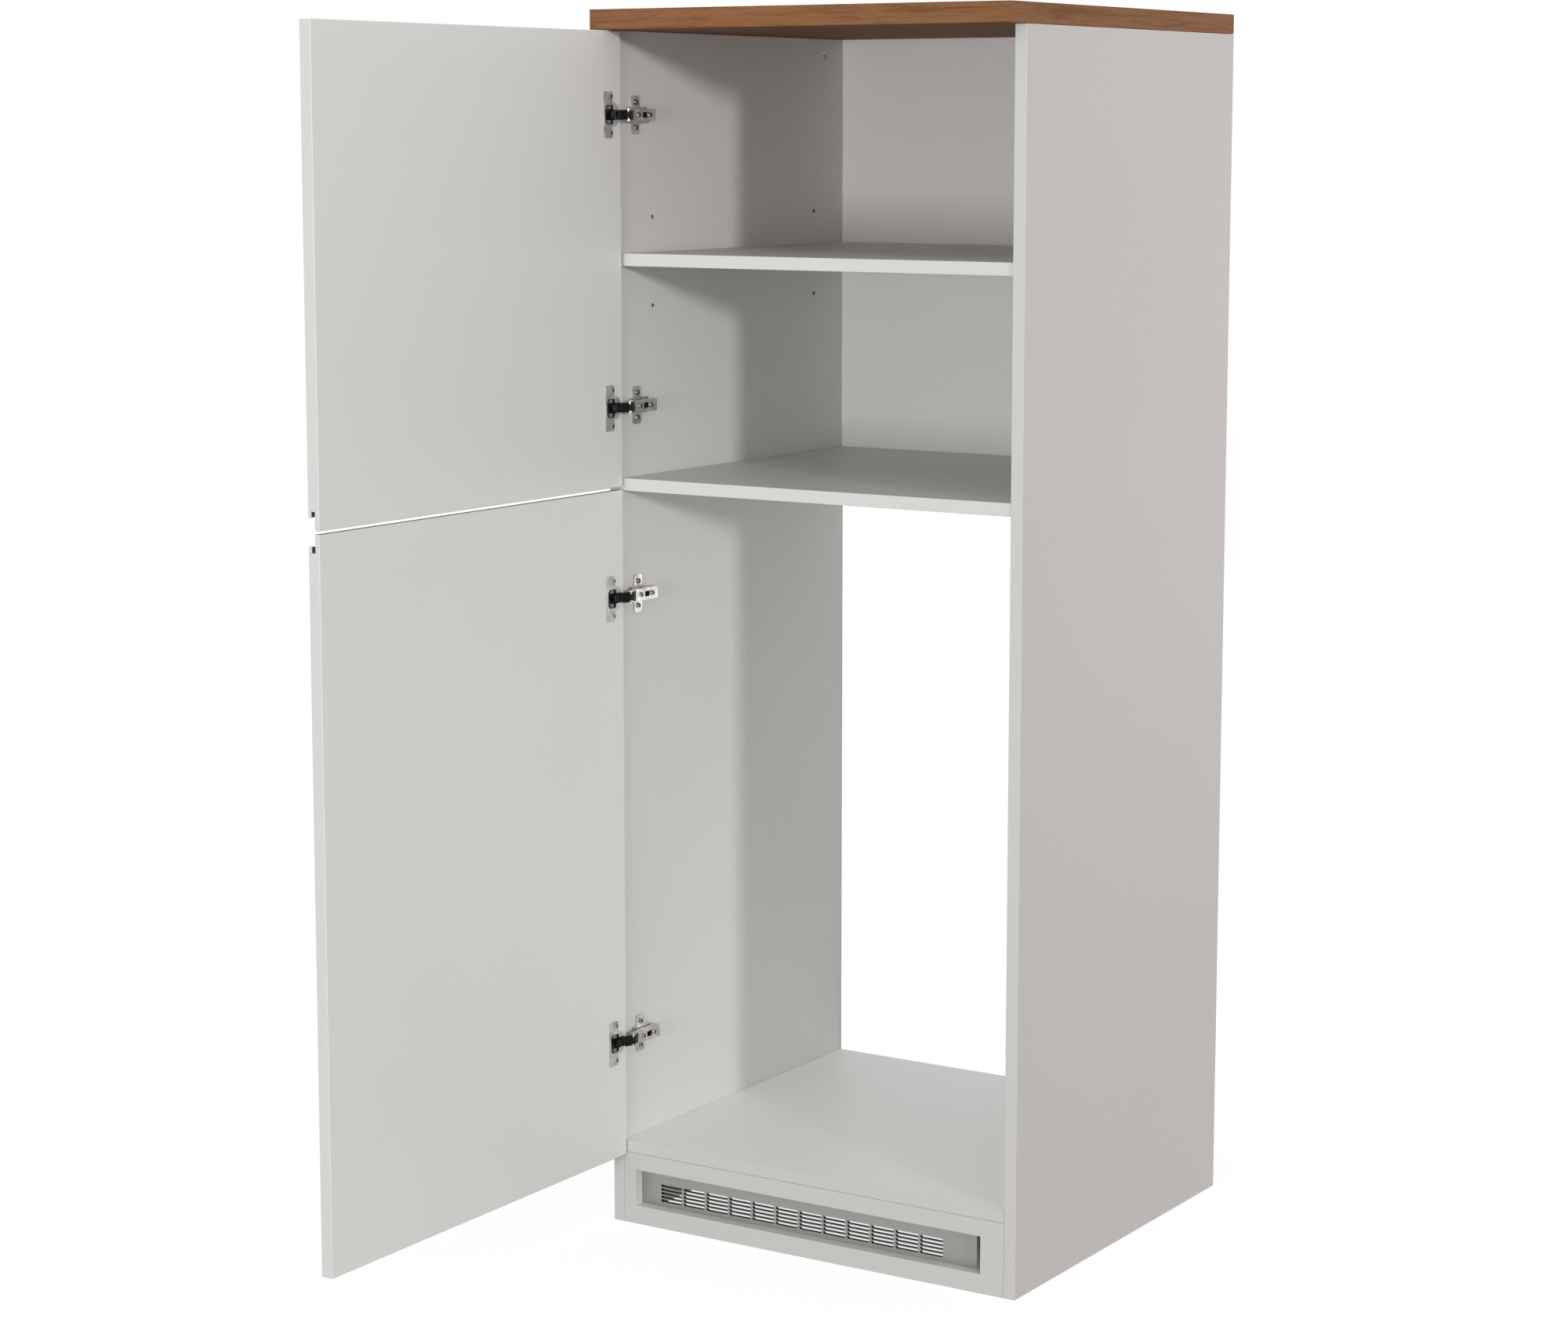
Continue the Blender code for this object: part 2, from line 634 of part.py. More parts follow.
def make_arm(name, level):
    """The channel-shaped arm on the mounting plate, with the two pins that the links turn on."""
    face = -INNER_HALF
    top = face + ARM_TOP_RISE
    low = face + ARM_LOW_RISE
    slope = (INNER_PIVOT - ARM_PIVOT).normalized()
    across = Vector((-slope.y, slope.x))
    if across.x < 0:
        across = -across
    nose_top = INNER_PIVOT + across * ARM_NOSE_RADIUS
    nose_low = INNER_PIVOT - across * ARM_NOSE_RADIUS
    heel = ARM_PIVOT - across * ARM_CHEEK_RADIUS
    outline = ((low, ARM_REAR), (low, ARM_SHOULDER_BACK), tuple(heel), tuple(nose_low), tuple(nose_top),
               (top, ARM_PIVOT_BACK), (top, ARM_REAR))
    shape = bmesh.new()
    add_prism(shape, outline, "Z", level - ARM_HALF_HEIGHT, level + ARM_HALF_HEIGHT)
    obj = make_object(name, shape, (top, ARM_REAR / 2, level), PARTS)
    noses = bmesh.new()
    add_cylinder(noses, "Z", level - ARM_HALF_HEIGHT, level + ARM_HALF_HEIGHT, INNER_PIVOT, ARM_NOSE_RADIUS,
                 ROUND_FACETS)
    fuse(obj, noses, "nose")
    inside = bmesh.new()
    web = top - ARM_SHEET
    front = INNER_PIVOT.y - ARM_NOSE_RADIUS - CUT_PAST
    ahead = max(INNER_PIVOT.x + ARM_NOSE_RADIUS, top) + CUT_PAST
    channel = ((face, front), (ahead, front), (ahead, ARM_WEB_FRONT), (web, ARM_WEB_FRONT),
               (web, ARM_REAR + CUT_PAST), (face, ARM_REAR + CUT_PAST))
    half = ARM_HALF_HEIGHT - ARM_SHEET
    add_prism(inside, channel, "Z", level - half, level + half)
    cut(obj, inside, "channel")
    pins = bmesh.new()
    reach = ARM_HALF_HEIGHT + PIN_HEAD
    for pivot in (ARM_PIVOT, INNER_PIVOT):
        add_cylinder(pins, "Z", level - reach, level + reach, pivot, HINGE_PIN_RADIUS, SMALL_FACETS)
    fuse(obj, pins, "pins")
    holes = bmesh.new()
    for back in (ADJUSTER_BACK, CLAMP_SCREW_BACK):
        add_cylinder(holes, "X", web - CUT_PAST, top + CUT_PAST, (back, level),
                     ARM_SCREW_SHANK_RADIUS + SCREW_CLEARANCE, SMALL_FACETS)
    half = ARM_SLOT_HEIGHT / 2
    add_box(holes, (web - CUT_PAST, ARM_SLOT_FRONT, level - half),
            (top + CUT_PAST, ARM_SLOT_FRONT + ARM_SLOT_LENGTH, level + half))
    cut(obj, holes, "web holes")
    metal_finish(obj)
    return obj


def make_plate(name, level):
    """The cross-shaped mounting plate with the spine that the arm sits on."""
    seat = -INNER_HALF + SEAT_GAP
    ridge = -INNER_HALF + ARM_TOP_RISE - ARM_SHEET - SEAT_GAP
    wing_top = seat + PLATE_WING_THICKNESS
    shape = bmesh.new()
    outline = rounded_rectangle((PLATE_WING_FRONT, level - PLATE_WING_HALF_HEIGHT),
                                (PLATE_WING_FRONT + PLATE_WING_WIDTH, level + PLATE_WING_HALF_HEIGHT),
                                PLATE_CORNER, CORNER_FACETS)
    add_prism(shape, outline, "X", seat, wing_top)
    obj = make_object(name, shape, (seat, PLATE_SCREW_BACK, level), PARTS)
    half = ARM_HALF_HEIGHT - ARM_SHEET - SEAT_GAP
    spine = bmesh.new()
    add_box(spine, (seat, SPINE_FRONT, level - half), (ridge, SPINE_REAR, level + half))
    fuse(obj, spine, "spine")
    holes = bmesh.new()
    for step in (-1, 1):
        centre = (PLATE_SCREW_BACK, level + step * SCREW_HALF_PITCH)
        add_cylinder(holes, "X", seat - CUT_PAST, wing_top + CUT_PAST, centre,
                     PLATE_SCREW_SHANK_RADIUS + SCREW_CLEARANCE, SMALL_FACETS)
    floor = -INNER_HALF + ARM_TOP_RISE - ARM_SCREW_EMBED - SCREW_CLEARANCE
    for back in (ADJUSTER_BACK, CLAMP_SCREW_BACK):
        add_cylinder(holes, "X", floor, ridge + CUT_PAST, (back, level),
                     ARM_SCREW_SHANK_RADIUS + SCREW_CLEARANCE, SMALL_FACETS)
    half = ARM_SLOT_HEIGHT / 2
    add_box(holes, (ridge - SPINE_RECESS_DEPTH, ARM_SLOT_FRONT, level - half),
            (ridge + CUT_PAST, ARM_SLOT_FRONT + ARM_SLOT_LENGTH, level + half))
    cut(obj, holes, "holes")
    metal_finish(obj)
    return obj


def make_screw(name, seat, back, level, head_radius, head_height, shank_radius, end):
    """A screw along X with a crossed drive; seat is where its head rests and end is its tip."""
    top = seat + head_height
    shape = bmesh.new()
    add_cylinder(shape, "X", seat, top, (back, level), head_radius, ROUND_FACETS)
    obj = make_object(name, shape, (seat, back, level), PARTS)
    shank = bmesh.new()
    add_cylinder(shank, "X", end, seat + head_height / 2, (back, level), shank_radius, SMALL_FACETS)
    fuse(obj, shank, "shank")
    drive = bmesh.new()
    drive_cross(drive, "X", top, DRIVE_DEPTH, (back, level), DRIVE_LENGTH, DRIVE_WIDTH)
    cut(obj, drive, "drive")
    metal_finish(obj)
    return obj


def make_outer_link(name, level):
    """The outer link, solid at the arm and forked at the cup, with a bore for each pin."""
    bend = Vector((-INNER_HALF + OUTER_BEND_RISE, -OUTER_BEND_OUT))
    low, high = level - OUTER_LINK_HALF_HEIGHT, level + OUTER_LINK_HALF_HEIGHT
    shape = bmesh.new()
    add_prism(shape, offset_chain((ARM_PIVOT, bend, CUP_PIVOT), LINK_THICKNESS / 2), "Z", low, high)
    obj = make_object(name, shape, (ARM_PIVOT.x, ARM_PIVOT.y, level), PARTS)
    eyes = bmesh.new()
    add_cylinder(eyes, "Z", low, high, ARM_PIVOT, ARM_EYE_RADIUS, SMALL_FACETS)
    add_cylinder(eyes, "Z", low, high, CUP_PIVOT, CUP_EYE_RADIUS, SMALL_FACETS)
    fuse(obj, eyes, "eyes")
    along = (bend - ARM_PIVOT)
    start = ARM_PIVOT + along * FORK_START_SHARE
    direction = along.normalized()
    across = Vector((-direction.y, direction.x))
    wide = (CUP_PIVOT - ARM_PIVOT).length
    outline = (start - across * wide, start + across * wide, start + across * wide + direction * wide,
               start - across * wide + direction * wide)
    half = INNER_LINK_HALF_HEIGHT + FORK_CLEARANCE
    fork = bmesh.new()
    add_prism(fork, outline, "Z", level - half, level + half)
    cut(obj, fork, "fork")
    bores = bmesh.new()
    for pivot in (ARM_PIVOT, CUP_PIVOT):
        add_cylinder(bores, "Z", low - CUT_PAST, high + CUT_PAST, pivot,
                     HINGE_PIN_RADIUS + HINGE_PIN_CLEARANCE, SMALL_FACETS)
    cut(obj, bores, "bores")
    finish(obj, DARK_LINK, METAL_ROUGHNESS, 1.0)
    return obj


def make_inner_link(name, level):
    """The inner link; its cup end is blunt, the open pivot of the linkage."""
    bend = Vector((-INNER_HALF + INNER_BEND_RISE, -INNER_BEND_OUT))
    low, high = level - INNER_LINK_HALF_HEIGHT, level + INNER_LINK_HALF_HEIGHT
    shape = bmesh.new()
    add_prism(shape, offset_chain((INNER_PIVOT, bend, FREE_PIVOT), LINK_THICKNESS / 2), "Z", low, high)
    obj = make_object(name, shape, (INNER_PIVOT.x, INNER_PIVOT.y, level), PARTS)
    eyes = bmesh.new()
    add_cylinder(eyes, "Z", low, high, INNER_PIVOT, ARM_EYE_RADIUS, SMALL_FACETS)
    add_cylinder(eyes, "Z", low, high, FREE_PIVOT, FREE_END_RADIUS, SMALL_FACETS)
    fuse(obj, eyes, "eyes")
    bore = bmesh.new()
    add_cylinder(bore, "Z", low - CUT_PAST, high + CUT_PAST, INNER_PIVOT,
                 HINGE_PIN_RADIUS + HINGE_PIN_CLEARANCE, SMALL_FACETS)
    cut(obj, bore, "bore")
    finish(obj, DARK_LINK, METAL_ROUGHNESS, 1.0)
    return obj


def make_hinge(place, level, root, link_axis, inner_axis, door_axis):
    """One hinge: plate, arm and screws on the side, two links, and the cup on the door."""
    wing_top = -INNER_HALF + SEAT_GAP + PLATE_WING_THICKNESS
    arm_top = -INNER_HALF + ARM_TOP_RISE
    fixed = [make_plate(place + "_mounting_plate", level), make_arm(place + "_arm", level)]
    for word, step in (("lower", -1), ("upper", 1)):
        fixed.append(make_screw(f"{place}_plate_screw_{word}", wing_top + SEAT_GAP, PLATE_SCREW_BACK,
                                level + step * SCREW_HALF_PITCH, PLATE_SCREW_HEAD_RADIUS,
                                PLATE_SCREW_HEAD_HEIGHT, PLATE_SCREW_SHANK_RADIUS,
                                -INNER_HALF - PLATE_SCREW_EMBED))
    for word, back in (("adjuster", ADJUSTER_BACK), ("clamp_screw", CLAMP_SCREW_BACK)):
        fixed.append(make_screw(f"{place}_{word}", arm_top + SEAT_GAP, back, level, ARM_SCREW_HEAD_RADIUS,
                                ARM_SCREW_HEAD_HEIGHT, ARM_SCREW_SHANK_RADIUS,
                                arm_top - ARM_SCREW_EMBED))
    for piece in fixed:
        attach(piece, root)
    attach(make_outer_link(place + "_outer_link", level), link_axis)
    attach(make_inner_link(place + "_inner_link", level), inner_axis)
    attach(make_cup(place + "_cup", level), door_axis)


def make_leaf(word, low, high, grip, places, root):
    """One door with its two hinges, hung on the markers of its three axes."""
    level = (low + high) / 2
    link_axis = axis_marker(word + " outer link axis", (ARM_PIVOT.x, ARM_PIVOT.y, level), root)
    inner_axis = axis_marker(word + " inner link axis", (INNER_PIVOT.x, INNER_PIVOT.y, level), root)
    door_axis = axis_marker(word + " door axis", (CUP_PIVOT.x, CUP_PIVOT.y, level), link_axis)
    attach(make_door("door_" + word, low, high, grip, [HINGES[place] for place in places]), door_axis)
    for place in places:
        make_hinge(place, HINGES[place], root, link_axis, inner_axis, door_axis)


def main():
    root = bpy.data.objects.new("Cabinet origin", None)
    PARTS.objects.link(root)
    make_carcass(root)
    make_leaf("upper", UPPER_DOOR_BOTTOM, UPPER_DOOR_TOP, -1, ("upper_top", "upper_bottom"), root)
    make_leaf("lower", LOWER_DOOR_BOTTOM, LOWER_DOOR_TOP, 1, ("lower_top", "lower_bottom"), root)
    bpy.context.view_layer.update()


main()
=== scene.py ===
"""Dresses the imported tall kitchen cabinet: boards, a wood-look top, a slotted vent and concealed hinges."""
import json
import math

import bmesh
import bpy
from bpy.props import FloatProperty, FloatVectorProperty, IntProperty, PointerProperty
from bpy.types import Operator, Panel, PropertyGroup
from mathutils import Matrix, Vector


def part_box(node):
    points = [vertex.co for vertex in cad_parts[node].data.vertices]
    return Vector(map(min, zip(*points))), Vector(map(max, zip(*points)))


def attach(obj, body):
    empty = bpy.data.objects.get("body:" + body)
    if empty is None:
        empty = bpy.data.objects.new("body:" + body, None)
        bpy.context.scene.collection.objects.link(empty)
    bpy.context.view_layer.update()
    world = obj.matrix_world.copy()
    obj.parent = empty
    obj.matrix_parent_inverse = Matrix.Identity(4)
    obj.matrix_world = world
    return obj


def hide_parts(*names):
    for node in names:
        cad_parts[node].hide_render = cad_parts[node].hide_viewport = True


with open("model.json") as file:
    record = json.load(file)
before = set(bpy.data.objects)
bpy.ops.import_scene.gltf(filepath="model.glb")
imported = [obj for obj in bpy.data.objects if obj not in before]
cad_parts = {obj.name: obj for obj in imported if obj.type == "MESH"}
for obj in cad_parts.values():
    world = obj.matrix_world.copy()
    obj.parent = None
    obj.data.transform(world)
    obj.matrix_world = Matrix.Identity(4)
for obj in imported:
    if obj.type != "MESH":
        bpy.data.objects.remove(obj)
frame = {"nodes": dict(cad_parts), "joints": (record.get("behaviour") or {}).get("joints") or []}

bl_info = {
    "name": "Tall kitchen cabinet",
    "version": (1, 0, 0),
    "blender": (4, 5, 0),
    "location": "View3D > Sidebar > Cabinet",
    "description": "Builds the visible pieces of a tall kitchen cabinet with two hinged doors",
    "category": "Object",
}

JOINTS = {joint["name"]: joint for joint in frame["joints"]}
ARM_PIVOT = Vector(JOINTS["upper_outer_link_swing"]["pos_m"][:2])
INNER_PIVOT = Vector(JOINTS["upper_inner_link_swing"]["pos_m"][:2])
CUP_PIVOT = Vector(JOINTS["upper_door_swing"]["pos_m"][:2])
PANEL_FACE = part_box("side_panel_left")[1].x
DOOR_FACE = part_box("door_upper")[1].x
SEAT_GAP = 0.0003
PAST = 0.002

# Facets of the round shapes
SMALL_FACETS = 28
HOLE_FACETS = 32
ARM_HOLE_FACETS = 36
ROUND_FACETS = 40
CAM_FACETS = 56

# Where the warmer tone of a side panel's outer face starts and is full, as a distance from the middle
OUTSIDE_FADE = (0.2993, 0.2998)

# Small roundings and depths
VENT_ROUNDING = 0.00015
PIN_ROUNDING = 0.0004
CAM_DISH = 0.0005

# The three kinds of screw
EAR_SCREW = {"head": 0.0030, "height": 0.0007, "shank": 0.0015, "dome": 0.5}
PLATE_SCREW = {"head": 0.0034, "height": 0.0016, "shank": 0.0018}
ARM_SCREW = {"head": 0.0032, "height": 0.0014, "shank": 0.0020}
EAR_SCREW_LIFT = 0.00005
EAR_SCREW_SINK = 0.0002

# The floor: half its side, and its level just under the cabinet
FLOOR_HALF = 9.0
FLOOR_LEVEL = -0.0004

# A hinge's cup: its plan from the door's edge line, its mouth, the block and posts inside it, and its pin
CUP_FAR = -0.0400
CUP_NEAR = -0.0078
CUP_HALF_HEIGHT = 0.0146
CUP_CORNERS = (0.0125, 0.0080)
CUP_STEPS = 9
CUP_LIP = 0.0009
CUP_PIN_REACH = 0.0108
FLANGE_CORNER = 0.0022
MOUTH_CORNER = 0.0022
MOUTH_CUT = 0.0032
BLOCK_GAP = 0.0004
BLOCK_BEND = -0.0340
BLOCK_HALF_HEIGHT = 0.0078
BLOCK_ROUNDING = 0.0006
POST_START = -0.0312
POST_INNER = 0.0068
POST_OUTER = 0.0112
POST_DROP = 0.0006

# A hinge's arm and mounting plate: levels above the panel's face, and places back from its front edge
ARM_TOP = 0.0148
ARM_BOTTOM = 0.0065
ARM_FRONT = 0.014
ARM_NOSE = 0.0024
ARM_CHEEK = 0.0028
CHANNEL_FRONT = 0.0125
PIN_PROUD = 0.00035
ARM_SCREWS = (0.0247, 0.0494)
ARM_SCREW_HOLE = 0.0023
ARM_SLOT = (0.0335, 0.0439)
ARM_SLOT_HALF = 0.0034
ARM_SLOT_CORNER = 0.0006
WING_THICKNESS = 0.0020
WING = (0.0275, 0.0445)
WING_CORNER = 0.004
BASE_HALF_HEIGHT = 0.0101
BASE_THICKNESS = 0.0044
BASE_CORNER = 0.0015
BASE_SHORT = 0.0008
SCREW_WELL = 0.0072
SLOT_WELL = 0.0070
PLATE_SCREW_LINE = 0.036
PLATE_SCREW_RISE = 0.016
PLATE_SCREW_HOLE = 0.0021
PLATE_SCREW_DEPTH = 0.0108

# A hinge's links: the knee of each strap, the eyes about the pins, and the rolled ends inside the cup
KNEE_RADIUS = 0.004
EYE_RADIUS = 0.0022
CUP_EYE_RADIUS = 0.0019
FREE_EYE_RADIUS = 0.0012
PIN_PLAY = 0.00015
LINK_SIDE_PLAY = 0.00105
LINK_STEP = 0.0015
OUTER_KNEE = (0.009, -0.0115)
HOOD = (0.0074, 15, 67)
FORK_START = 0.62
FORK_PLAY = 0.0004
INNER_KNEE = (0.0125, -0.0155)
FREE_END = (0.0012, -0.0170)
NOSE = (0.0070, -20, 80)
COVER_ENDS = (0.0030, 0.0012)
COVER_HALF_HEIGHT = 0.0060


def length(name, description, default):
    """A property that holds a size in metres."""
    return FloatProperty(name=name, description=description, default=default, min=0.0, unit="LENGTH",
                         subtype="DISTANCE", precision=5)


def colour(name, description, default):
    """A property that holds a linear colour."""
    return FloatVectorProperty(name=name, description=description, default=default, size=4, min=0.0, max=1.0,
                               subtype="COLOR")


def share(name, description, default):
    """A property between nought and one."""
    return FloatProperty(name=name, description=description, default=default, min=0.0, max=1.0,
                         subtype="FACTOR")


def amount(name, description, default, low=0.0):
    """A property that holds a plain number."""
    return FloatProperty(name=name, description=description, default=default, min=low)


def spot(name, description, default):
    """A property that holds a place in metres."""
    return FloatVectorProperty(name=name, description=description, default=default, size=3, unit="LENGTH",
                               subtype="XYZ")


def turning(name, description, default):
    """A property that holds three angles."""
    return FloatVectorProperty(name=name, description=description, default=default, size=3, subtype="EULER")


class BoardLook(PropertyGroup):
    """Sizes and colours of the coated boards."""
    edge_radius: length("Edge radius", "Rounding along the edges of a carcass board", 0.0006)
    door_radius: length("Door edge radius", "Rounding along the edges of a door", 0.0009)
    band_thickness: length("Edge band", "Thickness of the band glued to a front edge", 0.0010)
    seam_width: length("Band seam", "Width of the joint line beside an edge band", 0.00016)
    white: colour("White", "Coating of the boards", (0.765, 0.752, 0.722, 1.0))
    white_shade: colour("White, shaded", "Deeper tone of the coating's clouds", (0.742, 0.729, 0.699, 1.0))
    outside: colour("White, outside", "Warmer outer face of a side panel", (0.680, 0.636, 0.614, 1.0))
    door: colour("Door white", "Skin of the doors", (0.858, 0.846, 0.815, 1.0))
    door_shade: colour("Door white, shaded", "Deeper tone of the door's clouds", (0.838, 0.826, 0.795, 1.0))
    door_band: colour("Door band white", "Edge bands of the doors", (0.790, 0.793, 0.768, 1.0))
    # painted light: the back and floor panels are whitened to stand in for light that reaches them
    back: colour("Back panel white", "Whiter tone of the back and floor panels, painted light", (0.930, 0.925, 0.915, 1.0))
    band: colour("Edge band white", "Edge bands, a little cooler than the faces", (0.712, 0.717, 0.690, 1.0))
    # painted shade: both shelf tones are darker than the other boards, for the dimmer light in the
    # compartments; painted light: the shelves' edge bands are lighter than the other bands
    shelf: colour("Shelf white", "Coating of the two shelves, darkened as painted shade", (0.655, 0.643, 0.618, 1.0))
    shelf_shade: colour("Shelf white, shaded", "Deeper tone of the shelves", (0.630, 0.618, 0.593, 1.0))
    shelf_band_painted_light: colour("Shelf band white", "Edge bands of the shelves, lightened as painted light", (0.790, 0.795, 0.765, 1.0))
    # painted shade: the grey inside the finger grips stands in for the shade in their hollows
    grip: colour("Grip grey", "Painted shade inside the finger grips", (0.120, 0.120, 0.112, 1.0))
    chip_light: colour("Chipboard, light", "Light chips of the core", (0.42, 0.29, 0.17, 1.0))
    chip_dark: colour("Chipboard, dark", "Dark chips of the core", (0.14, 0.085, 0.045, 1.0))
    roughness: share("Roughness", "Roughness of the coating", 0.46)


class TopLook(PropertyGroup):
    """Colours of the wood-look top."""
    edge_radius: length("Edge radius", "Rounding along the edges of the top", 0.0010)
    light: colour("Light grain", "Lightest wood between the streaks", (0.330, 0.156, 0.070, 1.0))
    middle: colour("Middle grain", "Main tone of the wood", (0.240, 0.104, 0.043, 1.0))
    dark: colour("Dark grain", "Dark streaks and pores", (0.135, 0.058, 0.026, 1.0))
    roughness: share("Roughness", "Roughness of the top's coating", 0.60)


class VentLook(PropertyGroup):
    """Sizes and colour of the slotted vent plate."""
    slot_length: length("Slot length", "Length of one slot", 0.0332)
    slot_height: length("Slot height", "Height of one slot", 0.0038)
    slot_corner: length("Slot corner", "Rounding at a slot's ends", 0.0019)
    group_pitch: length("Group pitch", "Distance from one group of slots to the next", 0.0357)
    row_pitch: length("Row pitch", "Distance from one row of slots to the next", 0.0050)
    left_margin: length("Left margin", "From the opening's left edge to the first slot", 0.0294)
    centre_rise: length("Centre rise", "From the opening's lower edge to the middle row", 0.0177)
    slat_depth: length("Slat depth", "Depth of the slats between the slots", 0.0054)
    return_depth: length("Return depth", "Depth of the plate's bent ends", 0.0120)
    sheet: length("Sheet", "Thickness of the plate's bent ends", 0.0012)
    # painted shade: the slots' walls are near-black for the shade between the slats
    shaded: colour("Slat grey", "Painted shade inside the slots", (0.060, 0.060, 0.055, 1.0))
    groups: IntProperty(name="Groups", description="Groups of slots along the plate", default=12, min=1)
    rows: IntProperty(name="Rows", description="Rows of slots in a group", default=5, min=1)
    grey: colour("Grey", "Paint of the vent plate", (0.375, 0.370, 0.353, 1.0))
    roughness: share("Roughness", "Roughness of the vent plate's paint", 0.40)


class HingeLook(PropertyGroup):
    """Sizes and colours of the concealed hinges and small fittings."""
    edge_radius: length("Edge radius", "Rounding of the pressed steel's edges", 0.00022)
    nickel: colour("Nickel", "Nickel-plated steel", (0.70, 0.685, 0.66, 1.0))
    # painted reflection: the dark clouds on the plating stand in for dark surroundings seen in the nickel
    nickel_painted_reflection: colour("Nickel, shaded", "Painted dark reflections on the plating", (0.33, 0.315, 0.30, 1.0))
    black: colour("Black", "Blackened links", (0.005, 0.005, 0.005, 1.0))
    # painted shade: the dark tone of the dished screw heads
    dull: colour("Dull steel", "Painted shade in the dished screw heads", (0.12, 0.12, 0.115, 1.0))
    block: colour("Cup block", "Moulded block inside a cup", (0.20, 0.20, 0.195, 1.0))
    # painted shade: this near-black stands for the shade inside the drives, the slot well and the cup's
    # hollow
    recess: colour("Recess", "Shaded inside of a screw's drive and of the cup", (0.05, 0.05, 0.05, 1.0))
    roughness: share("Roughness", "Roughness of the plating", 0.20)


class StageLook(PropertyGroup):
    """Floor, light and camera."""
    floor: colour("Floor", "Pale floor", (0.22, 0.22, 0.22, 1.0))
    floor_glow: amount("Floor glow", "How far the floor is lifted towards white", 0.86)
    ambient: amount("Ambient", "Light from all round", 0.62)
    key_strength: amount("Key strength", "Sun at the right front", 0.84)
    key_turn: turning("Key direction", "Elevation, width and azimuth of the key light", (0.124, 0.07, 1.12))
    fill_power: amount("Fill power", "Soft lamp in front, in watts", 98.0)
    fill_size: length("Fill size", "Side of the front lamp", 1.2)
    fill_place: spot("Fill place", "Place of the front lamp", (0.90, -6.0, 1.05))
    fill_target: spot("Fill target", "Where the front lamp points", (0.0, 0.0, 1.2))
    back_power: amount("Back power", "Soft lamp behind, in watts", 8.0)
    back_size: length("Back size", "Side of the lamp behind", 1.8)
    back_place: spot("Back place", "Place of the lamp behind", (0.9, 3.2, 0.9))
    back_target: spot("Back target", "Where the lamp behind points", (0.0, 0.5, 0.6))
    lens_mm: amount("Lens", "Focal length in millimetres", 80.120, 1.0)
    shift: FloatProperty(name="Shift", description="Vertical lens shift", default=-0.03)
    eye: spot("Camera", "Place of the camera", (2.2768, -3.6286, 1.4229))
    turn: turning("Camera turn", "Roll, pitch and yaw of the camera", (0.00057, 0.13773, 0.56742))


class Wire:
    """A shader socket on which sums are written as they are on numbers."""

    def __init__(self, tree, socket=None):
        self.tree = tree
        self.socket = socket

    def feed(self, socket, value):
        """Links a wire to a socket, or sets the socket's own value."""
        if isinstance(value, Wire):
            self.tree.links.new(value.socket, socket)
        else:
            socket.default_value = value

    def node(self, kind, settings=None, values=None, output=0):
        """Adds any node: its settings first, then the value or link of each socket."""
        made = self.tree.nodes.new(kind)
        for name, value in (settings or {}).items():
            if name == "stops":
                self.set_stops(made.color_ramp.elements, value)
            else:
                setattr(made, name, value)
        for name, value in (values or {}).items():
            self.feed(made.inputs[name], value)
        return Wire(self.tree, made.outputs[output])

    @staticmethod
    def set_stops(elements, stops):
        """Sets a colour ramp's stops, given from left to right."""
        elements[0].position, elements[0].color = stops[0]
        elements[1].position, elements[1].color = stops[-1]
        for place, tone in stops[1:-1]:
            elements.new(place).color = tone

    def maths(self, operation, *values):
        return self.node("ShaderNodeMath", {"operation": operation}, dict(enumerate(values)))

    def __add__(self, other):
        return self.maths("ADD", self, other)

    __radd__ = __add__

    def __sub__(self, other):
        return self.maths("SUBTRACT", self, other)

    def __rsub__(self, other):
        return self.maths("SUBTRACT", other, self)

    def __mul__(self, other):
        return self.maths("MULTIPLY", self, other)

    __rmul__ = __mul__

    def __lt__(self, other):
        return self.maths("LESS_THAN", self, other)

    def __gt__(self, other):
        return self.maths("GREATER_THAN", self, other)

    def __abs__(self):
        return self.maths("ABSOLUTE", self)

    def part(self, number):
        """One of a vector's three numbers."""
        return self.node("ShaderNodeSeparateXYZ", values={0: self}, output=number)

    def stretch(self, factors):
        """A vector scaled along each axis."""
        return self.node("ShaderNodeVectorMath", {"operation": "MULTIPLY"}, {0: self, 1: factors})

    def mix(self, first, second, factor):
        """One colour fading into another."""
        return self.node("ShaderNodeMix", {"data_type": "RGBA"}, {0: factor, 6: first, 7: second}, output=2)

    def blend(self, first, second, factor):
        """One vector fading into another."""
        return self.node("ShaderNodeMix", {"data_type": "VECTOR"}, {0: factor, 4: first, 5: second}, output=1)

    def noise(self, place, scale, detail=2.0, rough=0.5):
        """A cloud of numbers about a half."""
        return self.node("ShaderNodeTexNoise", values={"Vector": place, "Scale": scale, "Detail": detail,
                                                       "Roughness": rough})

    def cells(self, place, scale):
        """A random grey for each cell."""
        return self.node("ShaderNodeTexVoronoi", values={"Vector": place, "Scale": scale}, output="Color")

    def ramp(self, factor, stops):
        """Colours spread along a number."""
        return self.node("ShaderNodeValToRGB", {"stops": stops}, {0: factor})

    def step(self, value, low, high):
        """Nought below the low mark, one above the high mark, and a slope between them."""
        return self.node("ShaderNodeMapRange", values={0: value, 1: low, 2: high, 3: 0.0, 4: 1.0})

    def bump(self, height, distance):
        """A normal from a height."""
        return self.node("ShaderNodeBump", values={"Height": height, "Distance": distance})


FINISHES = {}


